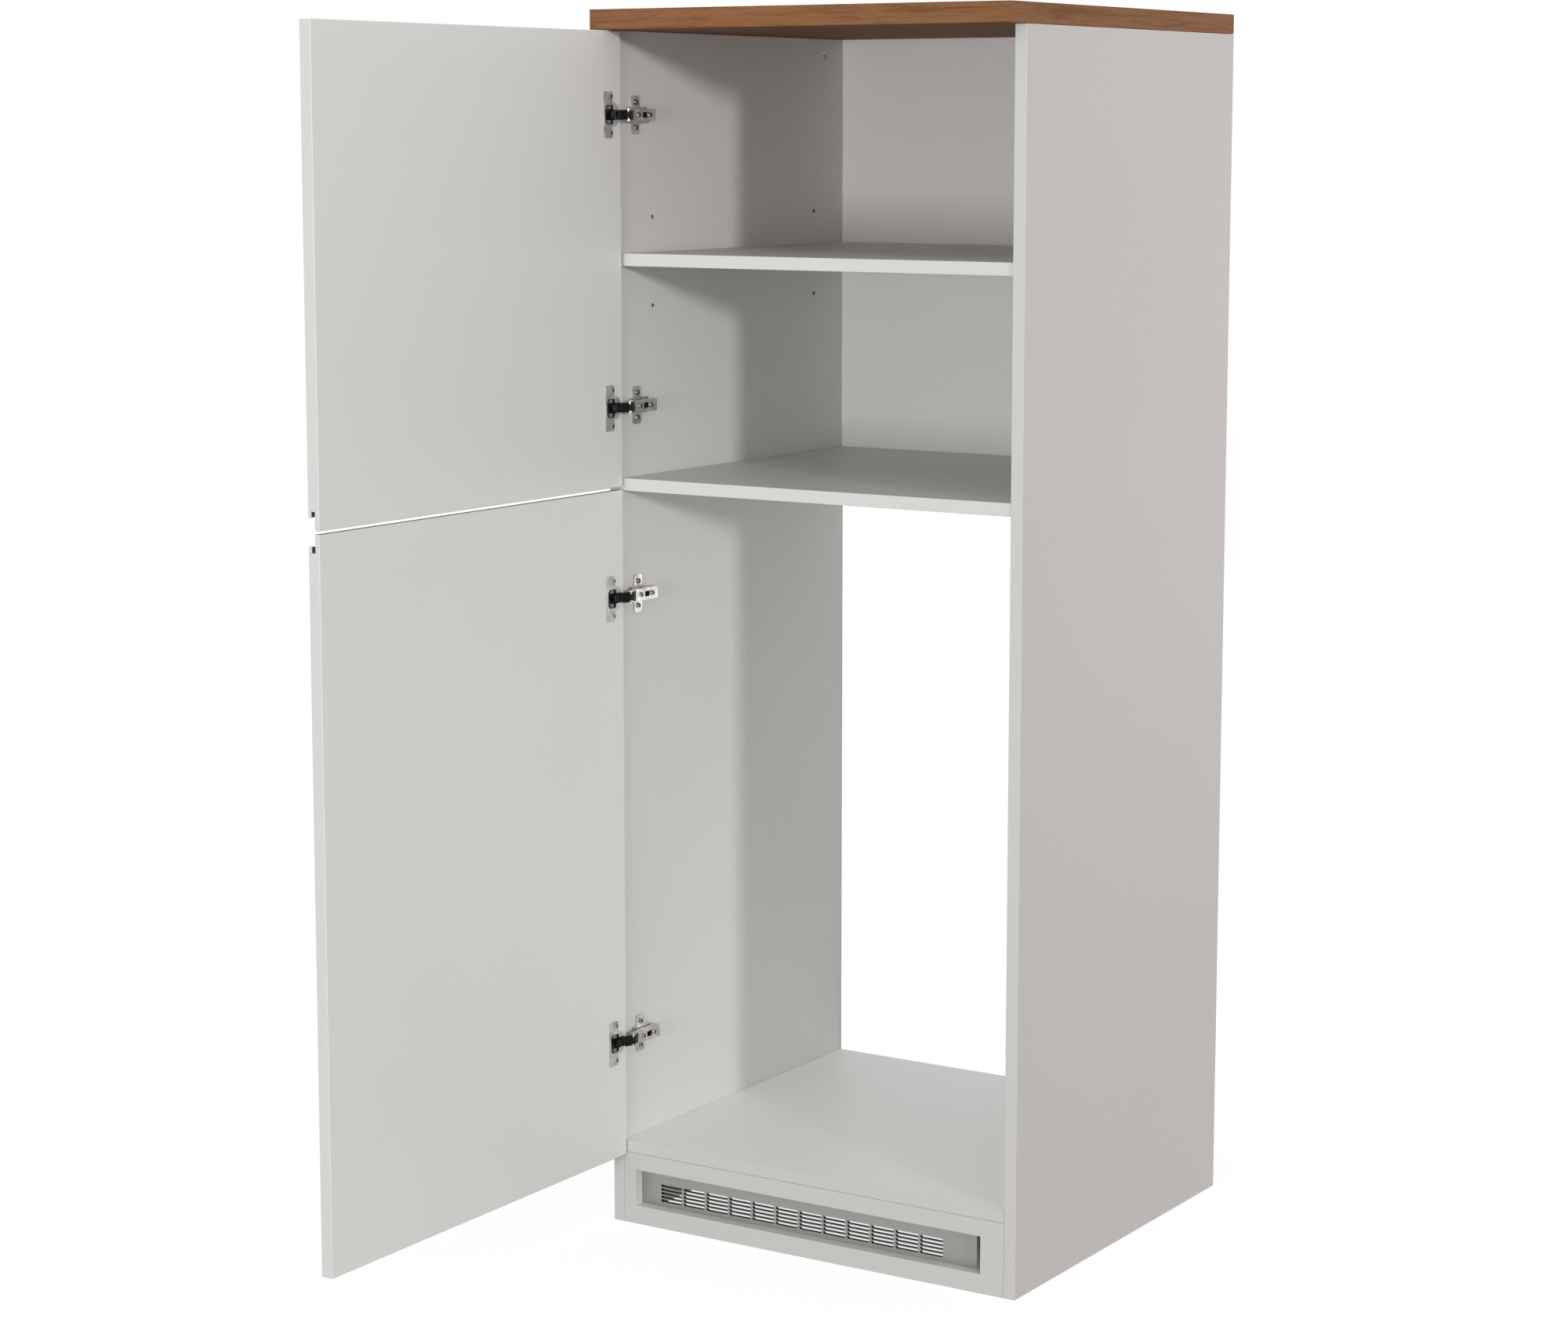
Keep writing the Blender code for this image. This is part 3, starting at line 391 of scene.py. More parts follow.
def finish(name, group, build):
    """Makes a finish once, with a look's values, and hands it out again."""
    if name not in FINISHES:
        made = bpy.data.materials.new(name)
        made.use_nodes = True
        tree = made.node_tree
        shader = tree.nodes["Principled BSDF"]
        wire = Wire(tree)
        # the place on the piece, in metres, which follows the piece when it moves
        place = wire.node("ShaderNodeTexCoord", output="Object")
        look = getattr(bpy.context.scene, group)
        for socket, value in build(wire, place, look).items():
            wire.feed(shader.inputs[socket], value)
        FINISHES[name] = made
    return FINISHES[name]


def toned(tone, factor):
    """A colour made darker or lighter."""
    return tuple(factor * part for part in tone[:3]) + (1.0,)


def coated_board(front=None, outside=False, whiter=False, shelf=False):
    """White coated board; front is the y of an edge band, and a side panel is warmer outside."""

    def build(wire, place, look):
        # on the shelves the darker faces are painted shade and the lighter bands painted light
        white, shade, edge = ((look.shelf, look.shelf_shade, look.shelf_band_painted_light) if shelf
                              else (look.white, look.white_shade, look.band))
        cloud = wire.noise(place, 2.6, 3.0)
        peel = wire.noise(place, 950.0, 2.0)
        scuff = wire.noise(place.stretch((1.0, 1.0, 7.0)), 14.0, 6.0, 0.62)
        marks = wire.step(scuff, 0.66, 0.80)
        tone = wire.mix(white, shade, wire.step(cloud, 0.35, 0.70))
        tone = wire.mix(tone, toned(look.white_shade, 0.94), marks * 0.35)
        # painted light: the back and floor panels are whitened
        if whiter:
            tone = wire.mix(tone, look.back, 0.9 + cloud * 0.1)
        if outside:
            tone = wire.mix(tone, look.outside, wire.step(abs(place.part(0)), *OUTSIDE_FADE))
        if front is not None:
            depth = place.part(1) - front
            on_band = depth < look.band_thickness
            seam = abs(depth - look.band_thickness) < look.seam_width / 2
            tone = wire.mix(tone, edge, on_band)
            tone = wire.mix(tone, toned(look.white_shade, 0.72), seam)
        rough = look.roughness + (cloud - 0.5) * 0.10 + marks * 0.08 + (peel - 0.5) * 0.06
        height = peel + wire.noise(place, 160.0, 2.0) * 0.6
        return {"Base Color": tone, "Roughness": rough, "Normal": wire.bump(height, 0.000045),
                "Specular IOR Level": 0.45}

    kinds = {(True, False, False): "White side panel", (False, True, False): "Whiter coated board",
             (False, False, True): "White shelf"}
    name = kinds.get((outside, whiter, shelf), "White coated board")
    return finish(name if front is None else f"{name}, band at {front:.4f}", "board_look", build)


def lacquered_door():
    """White doors: smooth faces, with cooler bands on the edges."""

    def build(wire, place, look):
        cloud = wire.noise(place, 2.1, 3.0)
        peel = wire.noise(place, 420.0, 3.0)
        wipe = wire.noise(place.stretch((1.0, 2.0, 9.0)), 6.0, 5.0, 0.6)
        tone = wire.mix(look.door, look.door_shade, wire.step(cloud, 0.35, 0.75))
        facing = wire.node("ShaderNodeTexCoord", output="Normal")
        tone = wire.mix(tone, look.door_band, abs(facing.part(0)) < 0.7)
        rough = look.roughness - 0.06 + (wipe - 0.5) * 0.16
        return {"Base Color": tone, "Roughness": rough, "Normal": wire.bump(peel, 0.00005),
                "Specular IOR Level": 0.5}

    return finish("White door skin", "board_look", build)


def painted_grip_shade():
    """Painted shade: dark grey inside a door's routed grip and on the edge beside it."""

    def build(wire, place, look):
        fine = wire.noise(place, 700.0, 3.0)
        light = toned(look.grip, 1.5)
        return {"Base Color": wire.mix(look.grip, light, fine), "Roughness": 0.55 + (fine - 0.5) * 0.2,
                "Normal": wire.bump(fine, 0.00005)}

    return finish("Grip coating", "board_look", build)


def chipboard():
    """Bare chips of a board's core, seen where it is drilled or cut."""

    def build(wire, place, look):
        chips = wire.cells(place.stretch((1.0, 0.45, 0.45)), 900.0).part(0)
        dust = wire.noise(place, 2400.0, 3.0)
        tone = wire.mix(look.chip_dark, look.chip_light, chips * 0.7 + dust * 0.4)
        return {"Base Color": tone, "Roughness": 0.85 + (dust - 0.5) * 0.1,
                "Normal": wire.bump(chips + dust, 0.0003)}

    return finish("Bare chipboard", "board_look", build)


def wood_top():
    """Wood-look coating with fine grain along each edge, and painted shade on its underside."""

    def build(wire, place, look):
        facing = wire.node("ShaderNodeTexCoord", output="Normal")
        on_end = abs(facing.part(0)) > 0.7
        along_x = place.stretch((1.0, 26.0, 26.0))
        swapped = wire.node("ShaderNodeCombineXYZ", values={0: place.part(1) + 3.7, 1: place.part(0) * 26.0,
                                                            2: place.part(2) * 26.0})
        grain = wire.blend(along_x, swapped, on_end)
        sway = wire.noise(grain.stretch((2.2, 0.08, 0.08)), 2.0, 2.0)
        drift = wire.node("ShaderNodeCombineXYZ", values={1: sway * 0.4, 2: sway * 0.4})
        bent = grain.node("ShaderNodeVectorMath", {"operation": "ADD"}, {0: grain, 1: drift})
        bands = wire.noise(bent, 4.6, 4.0, 0.5)
        streaks = wire.noise(bent.stretch((1.7, 3.4, 3.4)), 7.0, 6.0, 0.62)
        pores = wire.noise(bent.stretch((5.0, 15.0, 15.0)), 8.0, 3.0)
        tone = wire.ramp(bands * 0.40 + streaks * 0.44 + pores * 0.16, (
            (0.33, look.dark), (0.44, look.middle), (0.54, look.light),
            (0.63, look.middle), (0.74, look.dark)))
        fleck = wire.step(wire.noise(bent.stretch((3.2, 6.0, 6.0)), 6.0, 3.0), 0.62, 0.72)
        tone = wire.mix(tone, look.dark, fleck * 0.5)
        tone = wire.mix(tone, toned(look.dark, 0.7), wire.step(pores, 0.68, 0.78) * 0.4)
        # painted shade: the underside is darker, where less light reaches it
        tone = wire.mix(tone, look.dark, (facing.part(2) < -0.7) * 0.45)
        rough = look.roughness + (streaks - 0.5) * 0.16
        return {"Base Color": tone, "Roughness": rough, "Normal": wire.bump(streaks + pores * 0.5, 0.00008),
                "Specular IOR Level": 0.10}

    return finish("Wood-look top", "top_look", build)


def painted_plate(name="Grey vent paint", grey="grey"):
    """Satin grey paint of the vent plate; the near-black tone on the slots' walls is painted shade."""

    def build(wire, place, look):
        paint = getattr(look, grey)
        cloud = wire.noise(place, 9.0, 3.0)
        fine = wire.noise(place.stretch((0.08, 1.0, 1.0)), 1500.0, 2.0)
        deep = toned(paint, 0.88)
        tone = wire.mix(paint, deep, cloud * 0.6 + fine * 0.3)
        return {"Base Color": tone, "Metallic": 0.55 + (fine - 0.5) * 0.1,
                "Roughness": look.roughness + (fine - 0.5) * 0.12, "Normal": wire.bump(fine, 0.00003)}

    return finish(name, "vent_look", build)


def plated(name, cup_shade=False):
    """Nickel-plated pressed steel, with rolling lines and clouds of painted dark reflection; a cup is duller,
    and darker inside as painted shade.
    """

    def build(wire, place, look):
        cloud = wire.noise(place, 70.0, 4.0)
        lines = wire.noise(place.stretch((1.0, 0.06, 1.0)), 2600.0, 2.0)
        spots = wire.step(wire.noise(place, 420.0, 3.0), 0.62, 0.75)
        # painted reflection: the dark clouds mimic reflections in the nickel
        tone = wire.mix(look.nickel, look.nickel_painted_reflection, wire.step(cloud, 0.35, 0.75))
        rough = look.roughness + (cloud - 0.5) * 0.14 + (lines - 0.5) * 0.12 + spots * 0.10
        if cup_shade:
            # painted shade: the cup darkens below the door's face, where its hollow lies in shade
            inside = wire.step(DOOR_FACE - place.part(0), 0.0002, 0.0022)
            tone = wire.mix(tone, look.recess, inside * 0.86)
            rough = rough + 0.20 + inside * 0.05
        metal = (0.55 if cup_shade else 1.0) - spots * 0.12
        return {"Base Color": tone, "Metallic": metal, "Roughness": rough,
                "Normal": wire.bump(lines + cloud * 0.4, 0.00002)}

    return finish(name, "hinge_look", build)


def blackened():
    """Black links, rubbed a little brighter where they turn."""

    def build(wire, place, look):
        fine = wire.noise(place, 900.0, 3.0)
        rub = wire.step(wire.noise(place, 240.0, 4.0), 0.60, 0.78)
        worn = tuple(0.05 + part for part in look.black[:3]) + (1.0,)
        return {"Base Color": wire.mix(look.black, worn, rub * 0.4), "Metallic": rub * 0.3,
                "Roughness": 0.40 + (fine - 0.5) * 0.18, "Normal": wire.bump(fine, 0.00002),
                "Specular IOR Level": 0.14}

    return finish("Blackened steel", "hinge_look", build)


def painted_dish_shade():
    """Painted shade: a dark steel tone in the dished screw heads."""

    def build(wire, place, look):
        fine = wire.noise(place, 1500.0, 3.0)
        cloud = wire.noise(place, 160.0, 3.0)
        tone = wire.mix(look.dull, look.nickel_painted_reflection, cloud * 0.35)
        return {"Base Color": tone, "Metallic": 0.92 + (fine - 0.5) * 0.1,
                "Roughness": 0.38 + (fine - 0.5) * 0.2, "Normal": wire.bump(fine, 0.00002)}

    return finish("Dull steel", "hinge_look", build)


def moulded_block():
    """Grey moulded plastic of the block inside a cup."""

    def build(wire, place, look):
        fine = wire.noise(place, 1200.0, 2.0)
        worn = toned(look.block, 0.90)
        return {"Base Color": wire.mix(look.block, worn, fine), "Roughness": 0.50 + (fine - 0.5) * 0.1,
                "Normal": wire.bump(fine, 0.00002)}

    return finish("Moulded block", "hinge_look", build)


def painted_drive_shade():
    """Painted shade inside the drives of screws and cams, and in the mounting plate's slot well."""

    def build(wire, place, look):
        fine = wire.noise(place, 1800.0, 2.0)
        return {"Base Color": wire.mix(look.recess, look.nickel_painted_reflection, fine * 0.3),
                "Metallic": 0.9 + (fine - 0.5) * 0.1, "Roughness": 0.5 + (fine - 0.5) * 0.2}

    return finish("Screw recess", "hinge_look", build)


def add_box(shape, low, high):
    """Adds a box between two corners."""
    size = [b - a for a, b in zip(low, high)]
    place = [(a + b) / 2 for a, b in zip(low, high)]
    bmesh.ops.create_cube(shape, size=1.0, matrix=Matrix.Translation(place) @ Matrix.Diagonal((*size, 1.0)))
    return shape


def add_cylinder(shape, axis, start, end, centre, radius, facets, end_radius=None):
    """Adds a cylinder or a cone along an axis; centre holds the two other coordinates, in X, Y, Z order."""
    number = "XYZ".index(axis)
    place = list(centre)
    place.insert(number, (start + end) / 2)
    turns = {"X": Matrix.Rotation(math.pi / 2, 4, "Y"), "Y": Matrix.Rotation(-math.pi / 2, 4, "X"),
             "Z": Matrix.Identity(4)}
    if end < start:
        radius, end_radius = (radius if end_radius is None else end_radius), radius
    bmesh.ops.create_cone(shape, cap_ends=True, segments=facets, radius1=radius,
                          radius2=radius if end_radius is None else end_radius, depth=abs(end - start),
                          matrix=Matrix.Translation(place) @ turns[axis])
    return shape


def add_prism(shape, outline, axis, start, end):
    """Fills a closed outline drawn across an axis, and extrudes it along that axis."""
    number = "XYZ".index(axis)
    ring = []
    for point in outline:
        place = list(point)
        place.insert(number, start)
        ring.append(shape.verts.new(place))
    raised = bmesh.ops.extrude_face_region(shape, geom=[shape.faces.new(ring)])
    push = [0.0, 0.0, 0.0]
    push[number] = end - start
    moved = [item for item in raised["geom"] if isinstance(item, bmesh.types.BMVert)]
    bmesh.ops.translate(shape, verts=moved, vec=push)
    return shape


def rounded(low, high, radius, steps=5):
    """Outline of a rectangle with round corners."""
    centres = ((high[0] - radius, high[1] - radius), (low[0] + radius, high[1] - radius),
               (low[0] + radius, low[1] + radius), (high[0] - radius, low[1] + radius))
    points = []
    for quarter, centre in enumerate(centres):
        for step in range(steps + 1):
            turn = math.pi / 2 * (quarter + step / steps)
            points.append((centre[0] + radius * math.cos(turn), centre[1] + radius * math.sin(turn)))
    return points


def strap(points, half):
    """Outline of a bent strap of even thickness along a chain of points."""
    left, right = [], []
    for index, point in enumerate(points):
        before = (point - points[index - 1]).normalized() if index else None
        after = (points[index + 1] - point).normalized() if index + 1 < len(points) else None
        if before is None or after is None:
            along, reach = after or before, half
        else:
            along = (before + after).normalized()
            reach = half / math.sqrt((1 + before.dot(after)) / 2)
        across = Vector((-along.y, along.x))
        left.append(point + across * reach)
        right.append(point - across * reach)
    return left + list(reversed(right))


def bent_path(start, knee, end, radius, steps=6):
    """A chain through a knee that is rounded off."""
    before, after = (start - knee).normalized(), (end - knee).normalized()
    reach = min(radius, (start - knee).length * 0.45, (end - knee).length * 0.45)
    first, last = knee + before * reach, knee + after * reach
    points = [start]
    for step in range(steps + 1):
        t = step / steps
        points.append(first * (1 - t) ** 2 + knee * 2 * t * (1 - t) + last * t ** 2)
    return points + [end]


def solid(name, shape, skin):
    """A mesh object from a shape, with one finish."""
    bmesh.ops.recalc_face_normals(shape, faces=shape.faces)
    mesh = bpy.data.meshes.new(name)
    shape.to_mesh(mesh)
    shape.free()
    mesh.materials.append(skin)
    obj = bpy.data.objects.new(name, mesh)
    bpy.context.scene.collection.objects.link(obj)
    return obj


def settle(obj):
    """Turns an object's modifiers into its mesh."""
    graph = bpy.context.evaluated_depsgraph_get()
    old = obj.data
    obj.data = bpy.data.meshes.new_from_object(obj.evaluated_get(graph), depsgraph=graph)
    obj.modifiers.clear()
    bpy.data.meshes.remove(old)


def combine(obj, shape, operation, skin=None):
    """Cuts a shape out of an object, or adds it; a cut's walls take the skin given."""
    tool = solid("tool", shape, skin or obj.data.materials[0])
    boolean = obj.modifiers.new("tool", "BOOLEAN")
    boolean.object = tool
    boolean.operation = operation
    boolean.solver = "EXACT"
    boolean.material_mode = "TRANSFER"
    settle(obj)
    used = tool.data
    bpy.data.objects.remove(tool)
    bpy.data.meshes.remove(used)


def cut(obj, shape, skin=None):
    """Cuts a shape out of an object."""
    combine(obj, shape, "DIFFERENCE", skin)


def join(obj, shape):
    """Adds a shape to an object."""
    combine(obj, shape, "UNION")


def soften(obj, radius, segments=3, angle=32):
    """Rounds the edges."""
    bevel = obj.modifiers.new("round", "BEVEL")
    bevel.width = radius
    bevel.segments = segments
    bevel.limit_method = "ANGLE"
    bevel.angle_limit = math.radians(angle)
    bevel.miter_outer = "MITER_ARC"
    bevel.use_clamp_overlap = True
    settle(obj)


def shade(obj, angle=38):
    """Smooth shading that leaves flat faces flat; the last step of every piece."""
    obj.data.shade_smooth()
    obj.data.set_sharp_from_angle(angle=math.radians(angle))
    weighted = obj.modifiers.new("shade", "WEIGHTED_NORMAL")
    weighted.keep_sharp = True
    settle(obj)


def hang(obj, body, slot, *nodes):
    """Gives a piece its body and hides the nodes that it stands for; the slot is not used."""
    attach(obj, body)
    if nodes:
        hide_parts(*nodes)
    return obj


def copy_at(obj, name, rise):
    """A copy of a piece, higher up."""
    mesh = obj.data.copy()
    mesh.transform(Matrix.Translation((0.0, 0.0, rise)))
    made = bpy.data.objects.new(name, mesh)
    bpy.context.scene.collection.objects.link(made)
    return made


def discard(*objs):
    """Removes the pattern pieces that were only there to be copied."""
    for obj in objs:
        mesh = obj.data
        bpy.data.objects.remove(obj)
        bpy.data.meshes.remove(mesh)


def centre_of(node):
    low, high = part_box(node)
    return (low + high) / 2


def hole_row(shape, side, radius, depth, places, facets=SMALL_FACETS):
    """Adds a drill for each place in a side panel's inner face."""
    inner = side * abs(PANEL_FACE)
    for back, level in places:
        add_cylinder(shape, "X", inner - side * PAST, inner + side * depth, (back, level), radius, facets)


def cup_plan(inset, level=0.0):
    """Plan of a hinge cup on the door's inner face: squarer on the far side, round near the door's edge."""
    low = (CUP_FAR + inset, level - CUP_HALF_HEIGHT + inset)
    high = (CUP_NEAR - inset, level + CUP_HALF_HEIGHT - inset)
    near, far = (rounded(low, high, corner - inset, CUP_STEPS) for corner in CUP_CORNERS)
    quarter = CUP_STEPS + 1
    return near[:quarter] + far[quarter:3 * quarter] + near[3 * quarter:]


class CABINET_OT_side_panels(Operator):
    """Make the two drilled side panels with their rear rebates"""
    bl_idname = "cabinet.side_panels"
    bl_label = "Side panels"

    rebate_width: length("Rebate width", "Depth of the rebate from the rear edge", 0.020)
    rebate_depth: length("Rebate depth", "How deep the rebate goes into the board", 0.010)
    pin_hole: length("Pin hole", "Radius of a shelf pin's hole", 0.0027)
    hole_pitch: length("Hole pitch", "Distance between the holes of a row", 0.0565)
    hole_depth: length("Hole depth", "Depth of a shelf pin's hole", 0.0088)

    def execute(self, context):
        look = context.scene.board_look
        for name, side, word in (("side_panel_left", -1, "left"), ("side_panel_right", 1, "right")):
            low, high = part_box(name)
            inner, outer = side * abs(PANEL_FACE), (low.x if side < 0 else high.x)
            step = high.y - self.rebate_width
            wall = inner + side * self.rebate_depth
            outline = ((outer, low.y), (inner, low.y), (inner, step), (wall, step), (wall, high.y),
                       (outer, high.y))
            panel = solid("dressed_" + name, add_prism(bmesh.new(), outline, "Z", low.z, high.z),
                          coated_board(round(low.y, 4), True))
            soften(panel, look.edge_radius)
            drills = bmesh.new()
            pins = [centre_of(f"pin_{row}_{word}") for row in ("front", "rear")]
            places = [(pin.y, pin.z + count * self.hole_pitch) for pin in pins for count in (-1, 0, 1)]
            hole_row(drills, side, self.pin_hole, self.hole_depth, places)
            cam_low, cam_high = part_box("cam_" + word)
            cam = (cam_low + cam_high) / 2
            radius = (cam_high.z - cam_low.z) / 2 + SEAT_GAP / 2
            hole_row(drills, side, radius, cam_high.x - cam_low.x + SEAT_GAP, [(cam.y, cam.z)], ROUND_FACETS)
            if side < 0:
                screws = [centre_of(node) for node in frame["nodes"] if "_plate_screw_" in node]
                hole_row(drills, side, PLATE_SCREW_HOLE, PLATE_SCREW_DEPTH,
                         [(screw.y, screw.z) for screw in screws])
            cut(panel, drills, chipboard())
            shade(panel)
            hang(panel, "carcass", "white_board", name)
        return {"FINISHED"}


class CABINET_OT_shelves(Operator):
    """Make the shelves, the floor panel and the back panel"""
    bl_idname = "cabinet.shelves"
    bl_label = "Shelves and back"

    notch_side: length("Notch clearance", "Room beside a pin in its notch", 0.002)
    notch_end: length("Notch end clearance", "Room past a pin's end in its notch", 0.0015)

    def execute(self, context):
        look = context.scene.board_look
        for name in ("upper_shelf", "middle_shelf", "floor_panel", "back_panel"):
            low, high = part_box(name)
            front = None if name == "back_panel" else round(low.y, 4)
            # the back and floor panels are whitened as painted light; the shelves get painted shade and
            # lighter bands
            skin = coated_board(front, whiter=name in ("back_panel", "floor_panel"),
                                shelf=name.endswith("shelf"))
            board = solid("dressed_" + name, add_box(bmesh.new(), low, high), skin)
            soften(board, look.edge_radius)
            if name == "upper_shelf":
                notches = bmesh.new()
                for row in ("front", "rear"):
                    for word, edge, sign in (("left", low.x, 1), ("right", high.x, -1)):
                        pin_low, pin_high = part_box(f"pin_{row}_{word}")
                        reach = pin_high.x if sign > 0 else pin_low.x
                        ends = sorted((edge - sign * PAST, reach + sign * self.notch_end))
                        add_box(notches, (ends[0], pin_low.y - self.notch_side, low.z - PAST),
                                (ends[1], pin_high.y + self.notch_side, pin_high.z + SEAT_GAP))
                cut(board, notches, chipboard())
            shade(board)
            hang(board, "carcass", "white_board", name)
        return {"FINISHED"}


class CABINET_OT_top_board(Operator):
    """Make the wood-look board on top"""
    bl_idname = "cabinet.top_board"
    bl_label = "Top board"

    def execute(self, context):
        board = solid("dressed_top_board", add_box(bmesh.new(), *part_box("top_board")), wood_top())
        soften(board, context.scene.top_look.edge_radius)
        shade(board)
        hang(board, "carcass", "walnut_board", "top_board")
        return {"FINISHED"}


class CABINET_OT_plinth(Operator):
    """Make the plinth board with its opening, and the slotted vent plate behind it"""
    bl_idname = "cabinet.plinth"
    bl_label = "Plinth and vent"

    left_margin: length("Left margin", "From the plinth's left end to the opening", 0.0177)
    right_margin: length("Right margin", "From the opening to the plinth's right end", 0.0327)
    bottom: length("Opening height", "From the floor to the opening", 0.0245)
    height: length("Opening size", "Height of the opening", 0.048)

    def execute(self, context):
        look = context.scene.vent_look
        low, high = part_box("plinth_board")
        left, right = low.x + self.left_margin, high.x - self.right_margin
        board = solid("dressed_plinth_board", add_box(bmesh.new(), low, high), coated_board(low.y))
        cut(board, add_box(bmesh.new(), (left, low.y - PAST, self.bottom),
                           (right, high.y + PAST, self.bottom + self.height)))
        soften(board, context.scene.board_look.edge_radius)
        shade(board)
        hang(board, "carcass", "white_board", "plinth_board")

        low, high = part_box("vent_grille")
        plate = solid("dressed_vent_grille", add_box(bmesh.new(), low, high), painted_plate())
        rear = low.y + look.slat_depth
        row_end = look.left_margin + (look.groups - 1) * look.group_pitch + look.slot_length
        half_rows = look.rows * look.row_pitch / 2 + look.sheet
        middle = self.bottom + look.centre_rise
        join(plate, add_box(bmesh.new(), (left + look.left_margin - look.sheet, low.y, middle - half_rows),
                            (left + row_end + look.sheet, rear, middle + half_rows)))
        for start, end in ((low.x, low.x + look.sheet), (high.x - look.sheet, high.x)):
            join(plate, add_box(bmesh.new(), (start, low.y, low.z), (end, low.y + look.return_depth, high.z)))
        slots = bmesh.new()
        half = look.slot_height / 2
        for group in range(look.groups):
            start = left + look.left_margin + group * look.group_pitch
            for row in range(look.rows):
                level = middle + (row - (look.rows - 1) / 2) * look.row_pitch
                outline = rounded((start, level - half), (start + look.slot_length, level + half),
                                  look.slot_corner, 4)
                add_prism(slots, outline, "Y", low.y - PAST, rear + PAST)
        # the slots' walls take a painted shade
        cut(plate, slots, painted_plate("Slat paint", "shaded"))
        soften(plate, VENT_ROUNDING, 2)
        shade(plate)
        hang(plate, "carcass", "grille_plate", "vent_grille")
        return {"FINISHED"}


class CABINET_OT_doors(Operator):
    """Make the two doors with their routed finger grips and cup bores"""
    bl_idname = "cabinet.doors"
    bl_label = "Doors"

    lip: length("Lip", "Thickness of the grip's outer lip", 0.0050)
    groove: length("Groove", "Width of the grip's groove", 0.0046)
    shortfall: length("Lip shortfall", "How far the lip ends short of the door's edge", 0.0150)
    depth: length("Groove depth", "How far the groove runs past the lip's end", 0.0066)
    bore_inset: length("Bore inset", "How far a cup's bore lies inside the cup's lip", 0.0006)
    bore_depth: length("Bore depth", "Depth of a cup's bore", 0.0128)

    def execute(self, context):
        look = context.scene.board_look
        for word, grip in (("upper", -1), ("lower", 1)):
            low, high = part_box("door_" + word)
            start, end = (high.z, low.z) if grip > 0 else (low.z, high.z)
            lip, groove = low.x + self.lip, low.x + self.lip + self.groove
            lip_end = start - grip * self.shortfall
            root = lip_end - grip * self.depth
            past = start + grip * PAST
            blank = add_box(bmesh.new(), (low.x, low.y, min(past, end)), (high.x, high.y, max(past, end)))
            door = solid("dressed_door_" + word, blank, lacquered_door())
            beyond = past + grip * PAST
            outline = ((high.x + PAST, start), (groove, start), (groove, root), (lip, root), (lip, lip_end),
                       (low.x - PAST, lip_end), (low.x - PAST, beyond), (high.x + PAST, beyond))
            # the grip's walls take a painted shade
            cut(door, add_prism(bmesh.new(), outline, "Y", low.y - PAST, high.y + PAST), painted_grip_shade())
            soften(door, look.door_radius, 4)
            bores = bmesh.new()
            for place in ("top", "bottom"):
                plan = cup_plan(self.bore_inset, centre_of(f"{word}_{place}_cup").z)
                add_prism(bores, plan, "X", high.x - self.bore_depth, high.x + PAST)
            cut(door, bores, chipboard())
            shade(door)
            hang(door, word + "_door", "white_board", "door_" + word)
        return {"FINISHED"}


class CABINET_OT_fittings(Operator):
    """Make the cam fittings and dress the shelf pins"""
    bl_idname = "cabinet.fittings"
    bl_label = "Cams and pins"

    drive_length: length("Drive length", "Length of a cam's drive", 0.0076)
    drive_width: length("Drive width", "Width of a cam's drive", 0.0016)
    drive_depth: length("Drive depth", "Depth of a cam's drive", 0.0025)
    rim: length("Rim", "Width of a cam's raised rim", 0.0007)

    def execute(self, context):
        look = context.scene.hinge_look
        for word, side in (("left", -1), ("right", 1)):
            low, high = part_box("cam_" + word)
            middle = (low + high) / 2
            front, rear = (high.x, low.x) if side < 0 else (low.x, high.x)
            radius = (high.z - low.z) / 2
            centre = (middle.y, middle.z)
            cam = solid("dressed_cam_" + word, add_cylinder(bmesh.new(), "X", front, rear, centre, radius,
                                                            CAM_FACETS), plated("Cam plating"))
            cut(cam, add_cylinder(bmesh.new(), "X", front - side * PAST, front + side * CAM_DISH, centre,
                                  radius - self.rim, CAM_FACETS))
            ends = sorted((front - side * PAST, front + side * self.drive_depth))
            halves = (self.drive_length / 2, self.drive_width / 2)
            for a, b in (halves, halves[::-1]):
                cut(cam, add_box(bmesh.new(), (ends[0], middle.y - a, middle.z - b),
                                 (ends[1], middle.y + a, middle.z + b)), painted_drive_shade())
            soften(cam, look.edge_radius / 2, 2)
            shade(cam)
            hang(cam, "carcass", "hinge_steel", "cam_" + word)
            for row in ("front", "rear"):
                node = f"pin_{row}_{word}"
                pin_low, pin_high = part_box(node)
                centre = (pin_low + pin_high) / 2
                shape = add_cylinder(bmesh.new(), "X", pin_low.x, pin_high.x, (centre.y, centre.z),
                                     (pin_high.z - pin_low.z) / 2, HOLE_FACETS)
                pin = solid("dressed_" + node, shape, plated("Pin plating"))
                soften(pin, PIN_ROUNDING, 3)
                shade(pin)
                hang(pin, "carcass", "hinge_steel", node)
        return {"FINISHED"}


def cross_outline(centre, span, width):
    """Outline of a crossed drive."""
    a, b = span / 2, width / 2
    points = ((a, b), (b, b), (b, a), (-b, a), (-b, b), (-a, b), (-a, -b), (-b, -b), (-b, -a), (b, -a),
              (b, -b), (a, -b))
    return [(centre[0] + u, centre[1] + v) for u, v in points]


